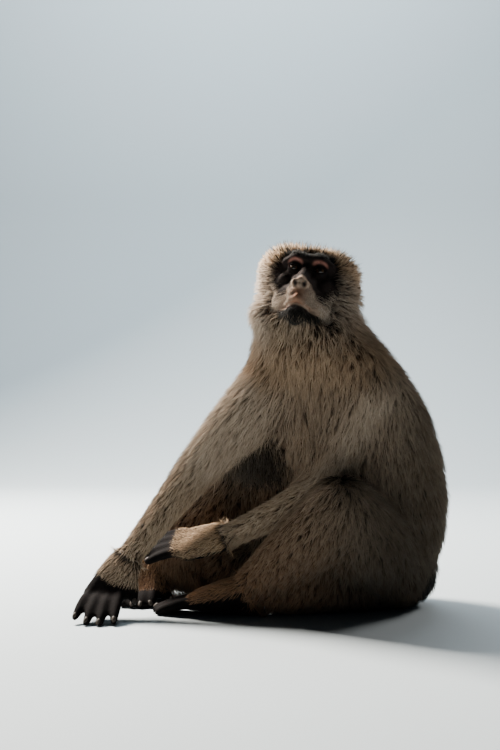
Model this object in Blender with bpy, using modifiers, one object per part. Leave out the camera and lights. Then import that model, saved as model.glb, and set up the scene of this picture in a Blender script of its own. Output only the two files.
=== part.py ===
# A sitting Barbary macaque, life size, as a still museum model.
# Metres, +Z up. The animal faces -Y and its left side is +X.
# Each body part is one closed solid that reaches out to the tips of the coat.

import math

import bmesh
import bpy
from mathutils import Euler, Matrix, Vector

NAME = "barbary_macaque"

# Gaps between neighbouring parts
CUT_GAP = 0.0004         # across a joint plane
NEST_GAP = 0.0007        # where one part lies against another

# Mesh fineness: voxel size and triangles of each built mass
BODY_VOXEL = 0.006
LIMB_VOXEL = 0.005
PAW_VOXEL = 0.0024
HEAD_VOXEL = 0.0022
TRUNK_TRIANGLES = 490
LEG_TRIANGLES = 330
ARM_TRIANGLES = 240
PAW_TRIANGLES = 490
HEAD_DRAFT_TRIANGLES = 20000
HEAD_TRIANGLES = 1250

# Skeleton: joints of the sitting pose
PELVIS = Vector((0.122, 0.130, 0.060))
HEAD_CENTRE = Vector((0.1022, 0.0021, 0.4812))

HIP = {"l": Vector((0.170, 0.118, 0.072)), "r": Vector((0.075, 0.131, 0.081))}
KNEE = {"l": Vector((0.173, -0.026, 0.170)), "r": Vector((-0.070, 0.070, 0.189))}
ANKLE = {"l": Vector((0.033, -0.047, 0.042)), "r": Vector((-0.181, -0.020, 0.070))}
TOES = {"l": Vector((-0.098, -0.104, 0.006)), "r": Vector((-0.139, -0.102, 0.006))}

SHOULDER = {"l": Vector((0.178, 0.040, 0.325)), "r": Vector((0.040, 0.008, 0.332))}
ELBOW = {"l": Vector((0.122, 0.040, 0.188)), "r": Vector((-0.069, -0.038, 0.213))}
WRIST = {"l": Vector((-0.012, -0.036, 0.111)), "r": Vector((-0.125, -0.134, 0.083))}
KNUCKLES = {"l": Vector((-0.069, -0.053, 0.097)), "r": Vector((-0.132, -0.176, 0.034))}
FINGERTIPS = {"l": Vector((-0.141, -0.077, 0.082)), "r": Vector((-0.108, -0.228, 0.004))}

# Direction of the thumb or the big toe, seen from the middle of the hand or foot
THUMB_SIDE = {"l": Vector((-0.20, 0.80, 0.56)), "r": Vector((0.86, 0.50, 0.0))}
BIG_TOE_SIDE = {"l": Vector((-0.43, 0.90, 0.0)), "r": Vector((0.84, 0.54, 0.0))}

# Trunk: sections from the seat to the head, as (centre, half width, half depth, half height)
TRUNK_SECTIONS = (
    (PELVIS, 0.112, 0.100, 0.068),
    (Vector((0.125, 0.135, 0.115)), 0.130, 0.108, 0.070),
    (Vector((0.122, 0.132, 0.170)), 0.140, 0.106, 0.070),
    (Vector((0.118, 0.114, 0.230)), 0.142, 0.108, 0.070),
    (Vector((0.113, 0.088, 0.290)), 0.140, 0.104, 0.060),
    (Vector((0.106, 0.058, 0.335)), 0.134, 0.097, 0.050),
    (Vector((0.100, 0.037, 0.373)), 0.120, 0.092, 0.045),
    (Vector((0.095, 0.025, 0.404)), 0.098, 0.084, 0.040),
    (Vector((0.100, 0.018, 0.455)), 0.080, 0.074, 0.040),
)
TRUNK_CUTS = {
    "pelvis": (Vector((0.128, 0.135, 0.100)), Vector((0.0, -0.12, 1.0))),
    "abdomen": (Vector((0.120, 0.108, 0.225)), Vector((0.0, -0.45, 1.0))),
    "chest": (Vector((0.108, 0.036, 0.372)), Vector((0.0, -0.30, 1.0))),
    "neck": (Vector((0.108, 0.020, 0.428)), Vector((0.0, -0.22, 1.0))),
}

# Limb thickness: radius at the root, at the fullest part and at the end
THIGH_RADII = (0.074, 0.070, 0.047)
SHANK_RADII = (0.046, 0.050, 0.028)
ARM_RADII = (0.058, 0.048, 0.035)
FOREARM_RADII = (0.035, 0.025, 0.018)
COAT_HANG = 0.043                  # height of the middle of the coat under a folded leg
HANG_START = {"l": 0.20, "r": 0.05}    # where that coat starts, from ankle to hip

# Head pose and size
HEAD_TURN = math.radians(27.0)     # to the animal's left
HEAD_LIFT = math.radians(14.5)     # muzzle up
HEAD_LEAN = math.radians(10.0)     # crown to the animal's left
HEAD_UNIT = 0.000953               # one unit of the head's proportions
CROWN_REACH = {-1: -33, 1: 27}     # places of the fur beside the crown, in head units
RUFF_REACH = {-1: -45, 1: 53}      # and of the cheek fur, which stands further out on the left
EYE_RADIUS = 9.8 * HEAD_UNIT
EYE_PLACE = (37.0, 12.0, 19.5)     # forward, up and sideways, in head units
EYE_CLEARANCE = 0.0005

COAT = (0.30, 0.235, 0.16)
PALE_COAT = (0.42, 0.34, 0.25)
LEG_COAT = (0.27, 0.19, 0.12)
BARE_SKIN = (0.36, 0.24, 0.20)
DARK_SKIN = (0.06, 0.05, 0.045)
EYE_BROWN = (0.055, 0.028, 0.012)


def clear_scene():
    for thing in list(bpy.data.objects):
        bpy.data.objects.remove(thing, do_unlink=True)


def make_collection(name):
    collection = bpy.data.collections.new(name)
    bpy.context.scene.collection.children.link(collection)
    return collection


def make_material(name, colour, roughness):
    material = bpy.data.materials.new(name)
    material.use_nodes = True
    shader = material.node_tree.nodes["Principled BSDF"]
    shader.inputs["Base Color"].default_value = (*colour, 1.0)
    shader.inputs["Roughness"].default_value = roughness
    shader.inputs["Metallic"].default_value = 0.0
    material.diffuse_color = (*colour, 1.0)
    return material


def make_object(name, bm, collection):
    mesh = bpy.data.meshes.new(name)
    bm.to_mesh(mesh)
    bm.free()
    thing = bpy.data.objects.new(name, mesh)
    collection.objects.link(thing)
    return thing


def baked(thing):
    # The object with its modifiers made part of its mesh
    graph = bpy.context.evaluated_depsgraph_get()
    graph.update()
    mesh = bpy.data.meshes.new_from_object(thing.evaluated_get(graph))
    thing.modifiers.clear()
    thing.data = mesh
    return thing


def add_ball(bm, centre, radii, turn=None):
    if not isinstance(radii, (tuple, Vector)):
        radii = (radii, radii, radii)
    turn = turn or Euler((0.0, 0.0, 0.0))
    place = Matrix.LocRotScale(Vector(centre), turn.to_quaternion(), Vector(radii))
    bmesh.ops.create_icosphere(bm, subdivisions=3, radius=1.0, matrix=place)


def add_chain(bm, stations, step=0.35, turn=None):
    # Balls close together along a path; a station is (centre, radii)
    for (start, first), (end, last) in zip(stations, stations[1:]):
        first = Vector(first) if isinstance(first, (tuple, Vector)) else Vector((first,) * 3)
        last = Vector(last) if isinstance(last, (tuple, Vector)) else Vector((last,) * 3)
        start = Vector(start)
        end = Vector(end)
        spacing = step * min(min(first), min(last))
        count = max(1, math.ceil((end - start).length / spacing))
        for index in range(count + 1):
            share = index / count
            add_ball(bm, start.lerp(end, share), first.lerp(last, share), turn)


def fused(thing, voxel, smooth_steps, triangles):
    # One closed skin round all the balls, smoothed, with a set number of triangles
    remesh = thing.modifiers.new("Fuse", "REMESH")
    remesh.mode = "VOXEL"
    remesh.voxel_size = voxel
    smooth = thing.modifiers.new("Soften", "SMOOTH")
    smooth.factor = 0.5
    smooth.iterations = smooth_steps
    baked(thing)
    thin = thing.modifiers.new("Thin", "DECIMATE")
    thin.ratio = triangles / (2.0 * len(thing.data.polygons))
    thin.use_collapse_triangulate = True
    baked(thing)
    return thing


def copy_of(thing, name, collection):
    twin = thing.copy()
    twin.data = thing.data.copy()
    twin.name = name
    collection.objects.link(twin)
    return twin


def grown(thing, distance, collection):
    # A copy whose surface lies further out
    twin = copy_of(thing, "grown_" + thing.name, collection)
    normals = [vertex.normal.copy() for vertex in twin.data.vertices]
    for vertex, normal in zip(twin.data.vertices, normals):
        vertex.co += normal * distance
    hide_cutter(twin)
    return twin


def hide_cutter(thing):
    thing.hide_render = True
    thing.display_type = "WIRE"


def combine(thing, cutter, operation):
    change = thing.modifiers.new("Cut", "BOOLEAN")
    change.operation = operation
    change.solver = "EXACT"
    change.object = cutter
    baked(thing)
    keep_largest(thing)


def keep_largest(thing):
    # Crumbs left by a cut are dropped
    bm = bmesh.new()
    bm.from_mesh(thing.data)
    bmesh.ops.remove_doubles(bm, verts=bm.verts, dist=0.00001)
    bmesh.ops.dissolve_degenerate(bm, dist=0.00001, edges=bm.edges)
    bmesh.ops.triangulate(bm, faces=bm.faces)
    unseen = set(bm.faces)
    groups = []
    while unseen:
        group = set()
        border = [unseen.pop()]
        while border:
            face = border.pop()
            group.add(face)
            for edge in face.edges:
                for other in edge.link_faces:
                    if other in unseen:
                        unseen.remove(other)
                        border.append(other)
        groups.append(group)
    groups.sort(key=lambda group: sum(face.calc_area() for face in group))
    for group in groups[:-1]:
        bmesh.ops.delete(bm, geom=list(group), context="FACES")
    bm.to_mesh(thing.data)
    bm.free()


def make_half_space(point, normal, collection):
    # A big block whose face passes through the point and which fills the side of the normal
    bm = bmesh.new()
    size = 1.2
    turn = Vector(normal).to_track_quat("Z", "Y")
    centre = Vector(point) + Vector(normal).normalized() * size / 2
    bmesh.ops.create_cube(bm, size=size, matrix=Matrix.LocRotScale(centre, turn, None))
    block = make_object("half_space", bm, collection)
    hide_cutter(block)
    return block


def split(thing, point, normal, upper_name, collection, cutters):
    # The object keeps what lies behind the plane; what lies before it is the new object
    normal = Vector(normal).normalized()
    upper = copy_of(thing, upper_name, collection)
    above = make_half_space(point - normal * CUT_GAP / 2, normal, cutters)
    below = make_half_space(point + normal * CUT_GAP / 2, -normal, cutters)
    combine(thing, above, "DIFFERENCE")
    combine(upper, below, "DIFFERENCE")
    return upper


def flatten_base(thing, cutters):
    combine(thing, make_half_space(Vector((0.0, 0.0, 0.0)), (0.0, 0.0, -1.0), cutters), "DIFFERENCE")


def nest(outer, inner, cutters):
    # The outer object makes room for the inner one
    combine(outer, grown(inner, NEST_GAP, cutters), "DIFFERENCE")


def joint_normal(before, joint, after):
    return ((joint - before).normalized() + (after - joint).normalized()).normalized()


def make_trunk(collection):
    bm = bmesh.new()
    add_chain(bm, [(centre, (width, depth, height)) for centre, width, depth, height in TRUNK_SECTIONS])
    # Seat pads and the fuller rump behind them
    for side in (-1.0, 1.0):
        add_ball(bm, PELVIS + Vector((0.052 * side, 0.010, -0.012)), (0.062, 0.085, 0.055))
        add_ball(bm, SHOULDER["l" if side > 0 else "r"] + Vector((-0.012 * side, 0.030, -0.010)), 0.064)
    # Right flank, which fills the crook of the propped arm
    add_chain(bm, [((0.032, 0.066, 0.270), 0.060), ((0.014, 0.082, 0.205), 0.056)])
    trunk = make_object("pelvis", bm, collection)
    return fused(trunk, BODY_VOXEL, 10, TRUNK_TRIANGLES)


def make_leg(side, collection):
    hip = HIP[side]
    knee = KNEE[side]
    ankle = ANKLE[side]
    bm = bmesh.new()
    down = Vector((0.0, 0.0, -1.0))
    ham = hip.lerp(knee, 0.50) + down * 0.012
    calf = knee.lerp(ankle, 0.38) + (hip - knee).normalized() * 0.012
    add_chain(bm, [(hip, THIGH_RADII[0]), (ham, THIGH_RADII[1]), (knee, THIGH_RADII[2])])
    add_chain(bm, [(knee, SHANK_RADII[0]), (calf, SHANK_RADII[1]), (ankle, SHANK_RADII[2])])
    add_chain(bm, [(ankle, SHANK_RADII[2]), (ankle.lerp(TOES[side], 0.3), 0.022)])
    # Coat that hangs to the ground under the calf and the thigh
    low_calf = ankle.lerp(hip, HANG_START[side])
    low_calf.z = COAT_HANG
    low_thigh = ankle.lerp(hip, 0.80)
    low_thigh.z = COAT_HANG
    add_chain(bm, [(low_calf, 0.043), (low_thigh, 0.054)])
    leg = make_object("thigh_" + side, bm, collection)
    return fused(leg, LIMB_VOXEL, 8, LEG_TRIANGLES)


def make_arm(side, collection):
    shoulder = SHOULDER[side]
    elbow = ELBOW[side]
    wrist = WRIST[side]
    hand = (KNUCKLES[side] - wrist).normalized()
    bm = bmesh.new()
    add_chain(bm, [
        (shoulder, ARM_RADII[0]),
        (shoulder.lerp(elbow, 0.55), ARM_RADII[1]),
        (elbow, ARM_RADII[2]),
    ])
    add_chain(bm, [
        (elbow, FOREARM_RADII[0]),
        (elbow.lerp(wrist, 0.45), FOREARM_RADII[1]),
        (wrist, FOREARM_RADII[2]),
        (wrist + hand * 0.016, 0.018),
    ])
    arm = make_object("upper_arm_" + side, bm, collection)
    return fused(arm, LIMB_VOXEL, 6, ARM_TRIANGLES)


def add_digit(bm, root, tip, arch, thickness):
    # Three bones with the two middle joints raised
    lift = Vector((0.0, 0.0, arch))
    first = root.lerp(tip, 0.40) + lift
    second = root.lerp(tip, 0.74) + lift * 0.62
    add_chain(bm, [
        (root, thickness * 1.12),
        (first, thickness * 1.06),
        (second, thickness),
        (tip, thickness * 0.82),
    ])


def make_hand(side, spread, tip_spread, arch, collection):
    wrist = WRIST[side]
    knuckles = KNUCKLES[side]
    tips = FINGERTIPS[side]
    thumb_side = THUMB_SIDE[side].normalized()
    lengths = (0.93, 1.04, 1.0, 0.84)
    bm = bmesh.new()
    add_chain(bm, [(wrist - (knuckles - wrist) * 0.35, 0.021), (wrist, 0.021)])
    for index, length in enumerate(lengths):
        offset = 1.5 - index
        knuckle = knuckles + thumb_side * spread * offset
        tip = knuckles.lerp(tips, length) + thumb_side * tip_spread * offset
        add_chain(bm, [(wrist + thumb_side * 0.006 * offset, 0.018), (knuckle, 0.0125)])
        add_digit(bm, knuckle, tip, arch, 0.0078)
    thumb_root = wrist.lerp(knuckles, 0.35) + thumb_side * 0.018
    thumb_tip = wrist.lerp(knuckles, 1.05) + thumb_side * 0.044 + Vector((0.0, 0.0, -0.010))
    thumb_tip.z = max(thumb_tip.z, 0.007)
    add_chain(bm, [(wrist, 0.016), (thumb_root, 0.014)])
    add_digit(bm, thumb_root, thumb_tip, 0.002, 0.0078)
    hand = make_object("hand_" + side, bm, collection)
    return fused(hand, PAW_VOXEL, 6, PAW_TRIANGLES)


def make_foot(side, spread, tip_spread, collection):
    ankle = ANKLE[side]
    toes = TOES[side]
    big_toe_side = BIG_TOE_SIDE[side].normalized()
    ahead = (toes - ankle).normalized()
    level = Vector((ahead.x, ahead.y, 0.0)).normalized()
    heel = Vector((ankle.x, ankle.y, 0.015)) - level * 0.026
    ball = ankle.lerp(toes, 0.56)
    ball.z = 0.020
    lengths = (0.90, 1.0, 0.97, 0.86)
    bm = bmesh.new()
    add_chain(bm, [(ankle + (KNEE[side] - ankle).normalized() * 0.022, 0.028), (ankle, 0.027)])
    add_chain(bm, [(ankle, 0.026), (heel, 0.019)])
    for index, length in enumerate(lengths):
        offset = 1.5 - index
        root = ball + big_toe_side * spread * offset
        tip = ball.lerp(toes, length) + big_toe_side * tip_spread * offset
        tip.z = 0.005
        add_chain(bm, [(ankle + big_toe_side * 0.006 * offset, 0.022), (root, 0.014)])
        add_chain(bm, [(heel, 0.017), (root, 0.013)])
        add_digit(bm, root, tip, 0.003, 0.0086)
    toe_root = ankle.lerp(ball, 0.45) + big_toe_side * 0.020
    toe_root.z = 0.018
    toe_tip = ankle.lerp(ball, 1.15) + big_toe_side * 0.046
    toe_tip.z = 0.006
    add_chain(bm, [(Vector((ankle.x, ankle.y, 0.024)), 0.019), (toe_root, 0.015)])
    add_digit(bm, toe_root, toe_tip, 0.002, 0.0092)
    foot = make_object("foot_" + side, bm, collection)
    return fused(foot, PAW_VOXEL, 6, PAW_TRIANGLES)


def head_matrix():
    turn = Matrix.Rotation(HEAD_TURN, 4, "Z")
    lift = Matrix.Rotation(-HEAD_LIFT, 4, "X")
    lean = Matrix.Rotation(HEAD_LEAN, 4, "Y")
    return Matrix.Translation(HEAD_CENTRE) @ turn @ lift @ lean


def head_point(forward, up, left):
    return Vector((left, -forward, up)) * HEAD_UNIT


def head_radii(forward, up, left):
    return Vector((left, forward, up)) * HEAD_UNIT


def make_head(collection, cutters):
    bm = bmesh.new()
    # Crown, nape and neck fur
    add_ball(bm, head_point(-18, 5, 0), head_radii(60, 58, 80))
    add_ball(bm, head_point(-38, -30, 0), head_radii(58, 60, 80))
    add_ball(bm, head_point(-44, -60, 0), head_radii(60, 46, 80))
    add_ball(bm, head_point(-10, -62, 0), head_radii(60, 50, 84))
    # Crest of fur over the brow
    add_ball(bm, head_point(18, 29, 0), head_radii(28, 28, 58))
    for side in (-1, 1):
        # Fur that squares the sides of the crown
        add_ball(bm, head_point(-16, 12, CROWN_REACH[side]), head_radii(56, 54, 54))
        # Cheek ruff
        add_ball(bm, head_point(-8, -22, RUFF_REACH[side]), head_radii(36, 54, 39))
        add_ball(bm, head_point(0, -58, RUFF_REACH[side]), head_radii(34, 36, 42))
        # Cheekbone, cheek pouch and the side of the muzzle
        add_ball(bm, head_point(26, -8, 28 * side), head_radii(20, 22, 20))
        add_ball(bm, head_point(30, -40, 30 * side), head_radii(25, 26, 20))
        add_chain(bm, [
            (head_point(30, -32, 26 * side), head_radii(20, 18, 14)),
            (head_point(66, -45, 15 * side), head_radii(15, 13, 12)),
        ])
        # Brow ridge
        add_chain(bm, [
            (head_point(49, 27, 6 * side), 7.0 * HEAD_UNIT),
            (head_point(45, 28, 22 * side), 7.5 * HEAD_UNIT),
            (head_point(31, 22, 38 * side), 7.5 * HEAD_UNIT),
        ])
        # Nostril wing
        add_ball(bm, head_point(81, -27, 6.5 * side), head_radii(5.5, 5, 5))
        # Jaw
        add_chain(bm, [
            (head_point(0, -54, 34 * side), head_radii(20, 16, 14)),
            (head_point(64, -66, 8 * side), head_radii(12, 9, 10)),
        ])
    # Face plate and bridge of the nose
    add_ball(bm, head_point(26, 2, 0), head_radii(22, 28, 36))
    add_chain(bm, [
        (head_point(44, 14, 0), 7.5 * HEAD_UNIT),
        (head_point(60, -4, 0), 8.0 * HEAD_UNIT),
        (head_point(80, -20, 0), 6.0 * HEAD_UNIT),
    ])
    # Muzzle, lips and chin
    add_chain(bm, [
        (head_point(34, -28, 0), head_radii(24, 24, 27)),
        (head_point(64, -40, 0), head_radii(20, 17, 21)),
    ])
    add_chain(bm, [
        (head_point(50, -53, 22), 5.5 * HEAD_UNIT),
        (head_point(74, -50, 14), 6.0 * HEAD_UNIT),
        (head_point(82, -49, 0), 6.0 * HEAD_UNIT),
        (head_point(74, -50, -14), 6.0 * HEAD_UNIT),
        (head_point(50, -53, -22), 5.5 * HEAD_UNIT),
    ])
    add_chain(bm, [
        (head_point(48, -62, 20), 5.5 * HEAD_UNIT),
        (head_point(70, -61, 12), 5.5 * HEAD_UNIT),
        (head_point(77, -60, 0), 5.5 * HEAD_UNIT),
        (head_point(70, -61, -12), 5.5 * HEAD_UNIT),
        (head_point(48, -62, -20), 5.5 * HEAD_UNIT),
    ])
    add_ball(bm, head_point(62, -70, 0), head_radii(15, 11, 15))
    bmesh.ops.transform(bm, matrix=head_matrix(), verts=bm.verts)
    head = fused(make_object("head", bm, collection), HEAD_VOXEL, 6, HEAD_DRAFT_TRIANGLES)
    # Orbits, nostrils and the line of the mouth
    hollows = bmesh.new()
    for side in (-1, 1):
        add_ball(hollows, head_point(53, 11, 20.5 * side), head_radii(13, 8.5, 13))
        add_ball(hollows, head_point(87, -31, 4.6 * side), head_radii(3.2, 2.6, 2.4))
    bmesh.ops.transform(hollows, matrix=head_matrix(), verts=hollows.verts)
    hollow = make_object("head_hollows", hollows, cutters)
    hide_cutter(hollow)
    combine(head, hollow, "DIFFERENCE")
    return fused(head, HEAD_VOXEL, 2, HEAD_TRIANGLES)


def make_eye(side, radius, name, collection):
    forward, up, out = EYE_PLACE
    bm = bmesh.new()
    bmesh.ops.create_uvsphere(bm, u_segments=14, v_segments=8, radius=radius)
    centre = head_matrix() @ head_point(forward, up, out * (1 if side == "l" else -1))
    tilt = Matrix.Rotation(math.radians(90.0), 4, "X")
    bmesh.ops.transform(bm, matrix=Matrix.Translation(centre) @ tilt, verts=bm.verts)
    return make_object(name, bm, collection)


def make_ear(side, collection):
    # A thin rounded shell that leans back and out
    sign = 1 if side == "l" else -1
    bm = bmesh.new()
    bmesh.ops.create_uvsphere(bm, u_segments=12, v_segments=7, radius=1.0)
    shape = Matrix.Diagonal((3.6 * HEAD_UNIT, 13.0 * HEAD_UNIT, 18.0 * HEAD_UNIT, 1.0))
    lean = Matrix.Rotation(math.radians(-28.0 * sign), 4, "Z")
    place = Matrix.Translation(head_point(-16, 4, CROWN_REACH[sign] + 54 * sign))
    bmesh.ops.transform(bm, matrix=head_matrix() @ place @ lean @ shape, verts=bm.verts)
    return make_object("ear_" + side, bm, collection)


def set_origin_at_base(parts):
    low = Vector((1e9, 1e9, 1e9))
    high = -low
    for part in parts:
        for vertex in part.data.vertices:
            for axis in range(3):
                low[axis] = min(low[axis], vertex.co[axis])
                high[axis] = max(high[axis], vertex.co[axis])
    shift = Vector((-(low.x + high.x) / 2, -(low.y + high.y) / 2, -low.z))
    for part in parts:
        part.data.transform(Matrix.Translation(shift))


def finish(thing, material):
    thing.data.materials.clear()
    thing.data.materials.append(material)
    thing.data.shade_smooth()
    thing.data.set_sharp_from_angle(angle=math.radians(50.0))


def build():
    clear_scene()
    solids = make_collection(NAME)
    cutters = make_collection(NAME + "_cutters")

    arms = {side: make_arm(side, solids) for side in "lr"}
    legs = {side: make_leg(side, solids) for side in "lr"}
    hands = {
        "l": make_hand("l", 0.0145, 0.0170, 0.007, solids),
        "r": make_hand("r", 0.0145, 0.0190, 0.006, solids),
    }
    feet = {side: make_foot(side, 0.0125, 0.0145, solids) for side in "lr"}
    head = make_head(solids, cutters)
    trunk = make_trunk(solids)

    parts = {"head": head, "pelvis": trunk}

    # Hands and feet part from their limbs at the wrist and the ankle
    for side in "lr":
        arm = arms[side]
        leg = legs[side]
        wrist_normal = joint_normal(ELBOW[side], WRIST[side], KNUCKLES[side])
        ankle_normal = joint_normal(KNEE[side], ANKLE[side], TOES[side])
        for limb, tip, point, normal in (
            (arm, hands[side], WRIST[side], wrist_normal),
            (leg, feet[side], ANKLE[side], ankle_normal),
        ):
            point = Vector(point)
            above = make_half_space(point - normal * CUT_GAP / 2, normal, cutters)
            below = make_half_space(point + normal * CUT_GAP / 2, -normal, cutters)
            combine(limb, above, "DIFFERENCE")
            combine(tip, below, "DIFFERENCE")
    for thing in (*arms.values(), *legs.values(), *hands.values(), *feet.values(), trunk):
        flatten_base(thing, cutters)

    # Where limbs lie against each other, the one underneath makes room
    for over, under in (
        (hands["l"], (legs["r"], feet["r"], legs["l"], feet["l"])),
        (hands["r"], (feet["r"], feet["l"], legs["r"], legs["l"])),
        (arms["l"], (legs["l"], legs["r"], arms["r"])),
        (arms["r"], (legs["r"], legs["l"])),
        (feet["l"], (legs["r"], feet["r"])),
        (legs["l"], (legs["r"], feet["r"])),
    ):
        for thing in under:
            nest(thing, over, cutters)

    # Eyes and ears stand in the head; the trunk makes room for the limbs and the head
    for side in "lr":
        eye = make_eye(side, EYE_RADIUS, "eye_" + side, solids)
        socket = make_eye(side, EYE_RADIUS + EYE_CLEARANCE, "socket_" + side, cutters)
        hide_cutter(socket)
        combine(head, socket, "DIFFERENCE")
        ear = make_ear(side, solids)
        nest(head, ear, cutters)
        parts["eye_" + side] = eye
        parts["ear_" + side] = ear
    neck_point, neck_normal = TRUNK_CUTS["neck"]
    neck_normal = neck_normal.normalized()
    combine(head, make_half_space(neck_point + neck_normal * CUT_GAP / 2, -neck_normal, cutters), "DIFFERENCE")
    combine(trunk, make_half_space(neck_point - neck_normal * CUT_GAP / 2, neck_normal, cutters), "DIFFERENCE")
    for side in "lr":
        nest(trunk, arms[side], cutters)
        nest(trunk, legs[side], cutters)
        nest(trunk, hands[side], cutters)
        nest(trunk, feet[side], cutters)
        nest(head, arms[side], cutters)

    # Each chain is divided at its joints
    parts["abdomen"] = split(trunk, *TRUNK_CUTS["pelvis"], "abdomen", solids, cutters)
    parts["chest"] = split(parts["abdomen"], *TRUNK_CUTS["abdomen"], "chest", solids, cutters)
    parts["neck"] = split(parts["chest"], *TRUNK_CUTS["chest"], "neck", solids, cutters)
    for side in "lr":
        elbow_normal = joint_normal(SHOULDER[side], ELBOW[side], WRIST[side])
        knee_normal = joint_normal(HIP[side], KNEE[side], ANKLE[side])
        forearm = split(arms[side], ELBOW[side], elbow_normal, "forearm_" + side, solids, cutters)
        shank = split(legs[side], KNEE[side], knee_normal, "shank_" + side, solids, cutters)
        parts["upper_arm_" + side] = arms[side]
        parts["forearm_" + side] = forearm
        parts["hand_" + side] = hands[side]
        parts["thigh_" + side] = legs[side]
        parts["shank_" + side] = shank
        parts["foot_" + side] = feet[side]

    coat = make_material("coat", COAT, 0.9)
    pale_coat = make_material("pale_coat", PALE_COAT, 0.9)
    leg_coat = make_material("leg_coat", LEG_COAT, 0.9)
    bare_skin = make_material("bare_skin", BARE_SKIN, 0.6)
    dark_skin = make_material("dark_skin", DARK_SKIN, 0.6)
    eye_brown = make_material("eye_brown", EYE_BROWN, 0.1)
    looks = {
        "upper_arm": pale_coat, "forearm": pale_coat, "hand": dark_skin, "thigh": leg_coat,
        "shank": leg_coat, "foot": dark_skin, "eye": eye_brown, "ear": bare_skin,
    }
    for name, part in parts.items():
        finish(part, looks.get(name.rsplit("_", 1)[0], coat))
    set_origin_at_base(list(parts.values()))


build()
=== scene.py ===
import math
from itertools import permutations

import bmesh
import bpy
import numpy as np
from mathutils import Matrix, Vector
from mathutils.bvhtree import BVHTree
from mathutils.kdtree import KDTree


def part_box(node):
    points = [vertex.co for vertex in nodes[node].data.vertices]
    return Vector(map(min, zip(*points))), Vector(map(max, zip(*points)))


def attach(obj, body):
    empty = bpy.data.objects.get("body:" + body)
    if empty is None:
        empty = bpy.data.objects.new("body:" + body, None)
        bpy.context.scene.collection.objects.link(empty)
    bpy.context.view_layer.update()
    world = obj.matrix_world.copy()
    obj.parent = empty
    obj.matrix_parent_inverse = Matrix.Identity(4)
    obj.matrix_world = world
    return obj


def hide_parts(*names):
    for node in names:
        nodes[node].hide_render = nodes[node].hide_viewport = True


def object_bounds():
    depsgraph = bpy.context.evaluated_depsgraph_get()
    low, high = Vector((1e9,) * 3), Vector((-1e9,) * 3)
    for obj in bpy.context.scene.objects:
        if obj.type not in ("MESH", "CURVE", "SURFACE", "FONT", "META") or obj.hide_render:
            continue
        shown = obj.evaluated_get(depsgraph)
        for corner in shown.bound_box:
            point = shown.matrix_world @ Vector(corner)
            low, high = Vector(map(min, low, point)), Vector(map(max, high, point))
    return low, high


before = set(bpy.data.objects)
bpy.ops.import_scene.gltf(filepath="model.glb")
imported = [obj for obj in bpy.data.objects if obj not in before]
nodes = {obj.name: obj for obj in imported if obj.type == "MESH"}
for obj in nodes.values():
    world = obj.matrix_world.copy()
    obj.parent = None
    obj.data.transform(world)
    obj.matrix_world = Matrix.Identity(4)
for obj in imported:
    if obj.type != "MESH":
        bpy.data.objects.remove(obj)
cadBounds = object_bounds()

sides = {"l": 1, "r": -1}
fleshNodes = [name for name in nodes if not name.startswith("eye")]


# Camera, floor and light

stageSettings = {
    "cameraHeading": 35.0,       # degrees, from straight in front towards the animal's left
    "cameraPlace": (0.8828, -1.2968, 0.3145),
    "cameraLift": 1.37,          # degrees
    "lens": 50.0,
    "sweepFront": 5.0,           # metres of floor in front of the animal
    "sweepBack": 2.2,            # and behind it, to where the sweep starts to rise
    "sweepRadius": 1.3,
    "sweepHeight": 4.5,
    "sweepWidth": 14.0,
    "sweepColour": (0.33, 0.375, 0.40),
    "skyColour": (0.72, 0.82, 0.90),
    "skyStrength": 0.035,
    "keyPower": 520.0,           # watts
    "rimPower": 40.0,
    "wallPower": 255.0,
}


def makeCamera():
    camera = bpy.data.cameras.new("camera")
    camera.lens = stageSettings["lens"]
    camera.sensor_width = 36.0
    camera.sensor_fit = "AUTO"
    holder = bpy.data.objects.new("camera", camera)
    holder.location = stageSettings["cameraPlace"]
    lift = math.radians(90.0 + stageSettings["cameraLift"])
    holder.rotation_euler = (lift, 0.0, math.radians(stageSettings["cameraHeading"]))
    bpy.context.scene.collection.objects.link(holder)
    bpy.context.scene.camera = holder


def makeAreaLight(name, place, aim, size, power, colour):
    light = bpy.data.lights.new(name, "AREA")
    light.shape = "DISK"
    light.size = size
    light.energy = power
    light.color = colour
    holder = bpy.data.objects.new(name, light)
    holder.location = place
    holder.rotation_euler = (Vector(aim) - Vector(place)).to_track_quat("-Z", "Y").to_euler()
    bpy.context.scene.collection.objects.link(holder)


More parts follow.
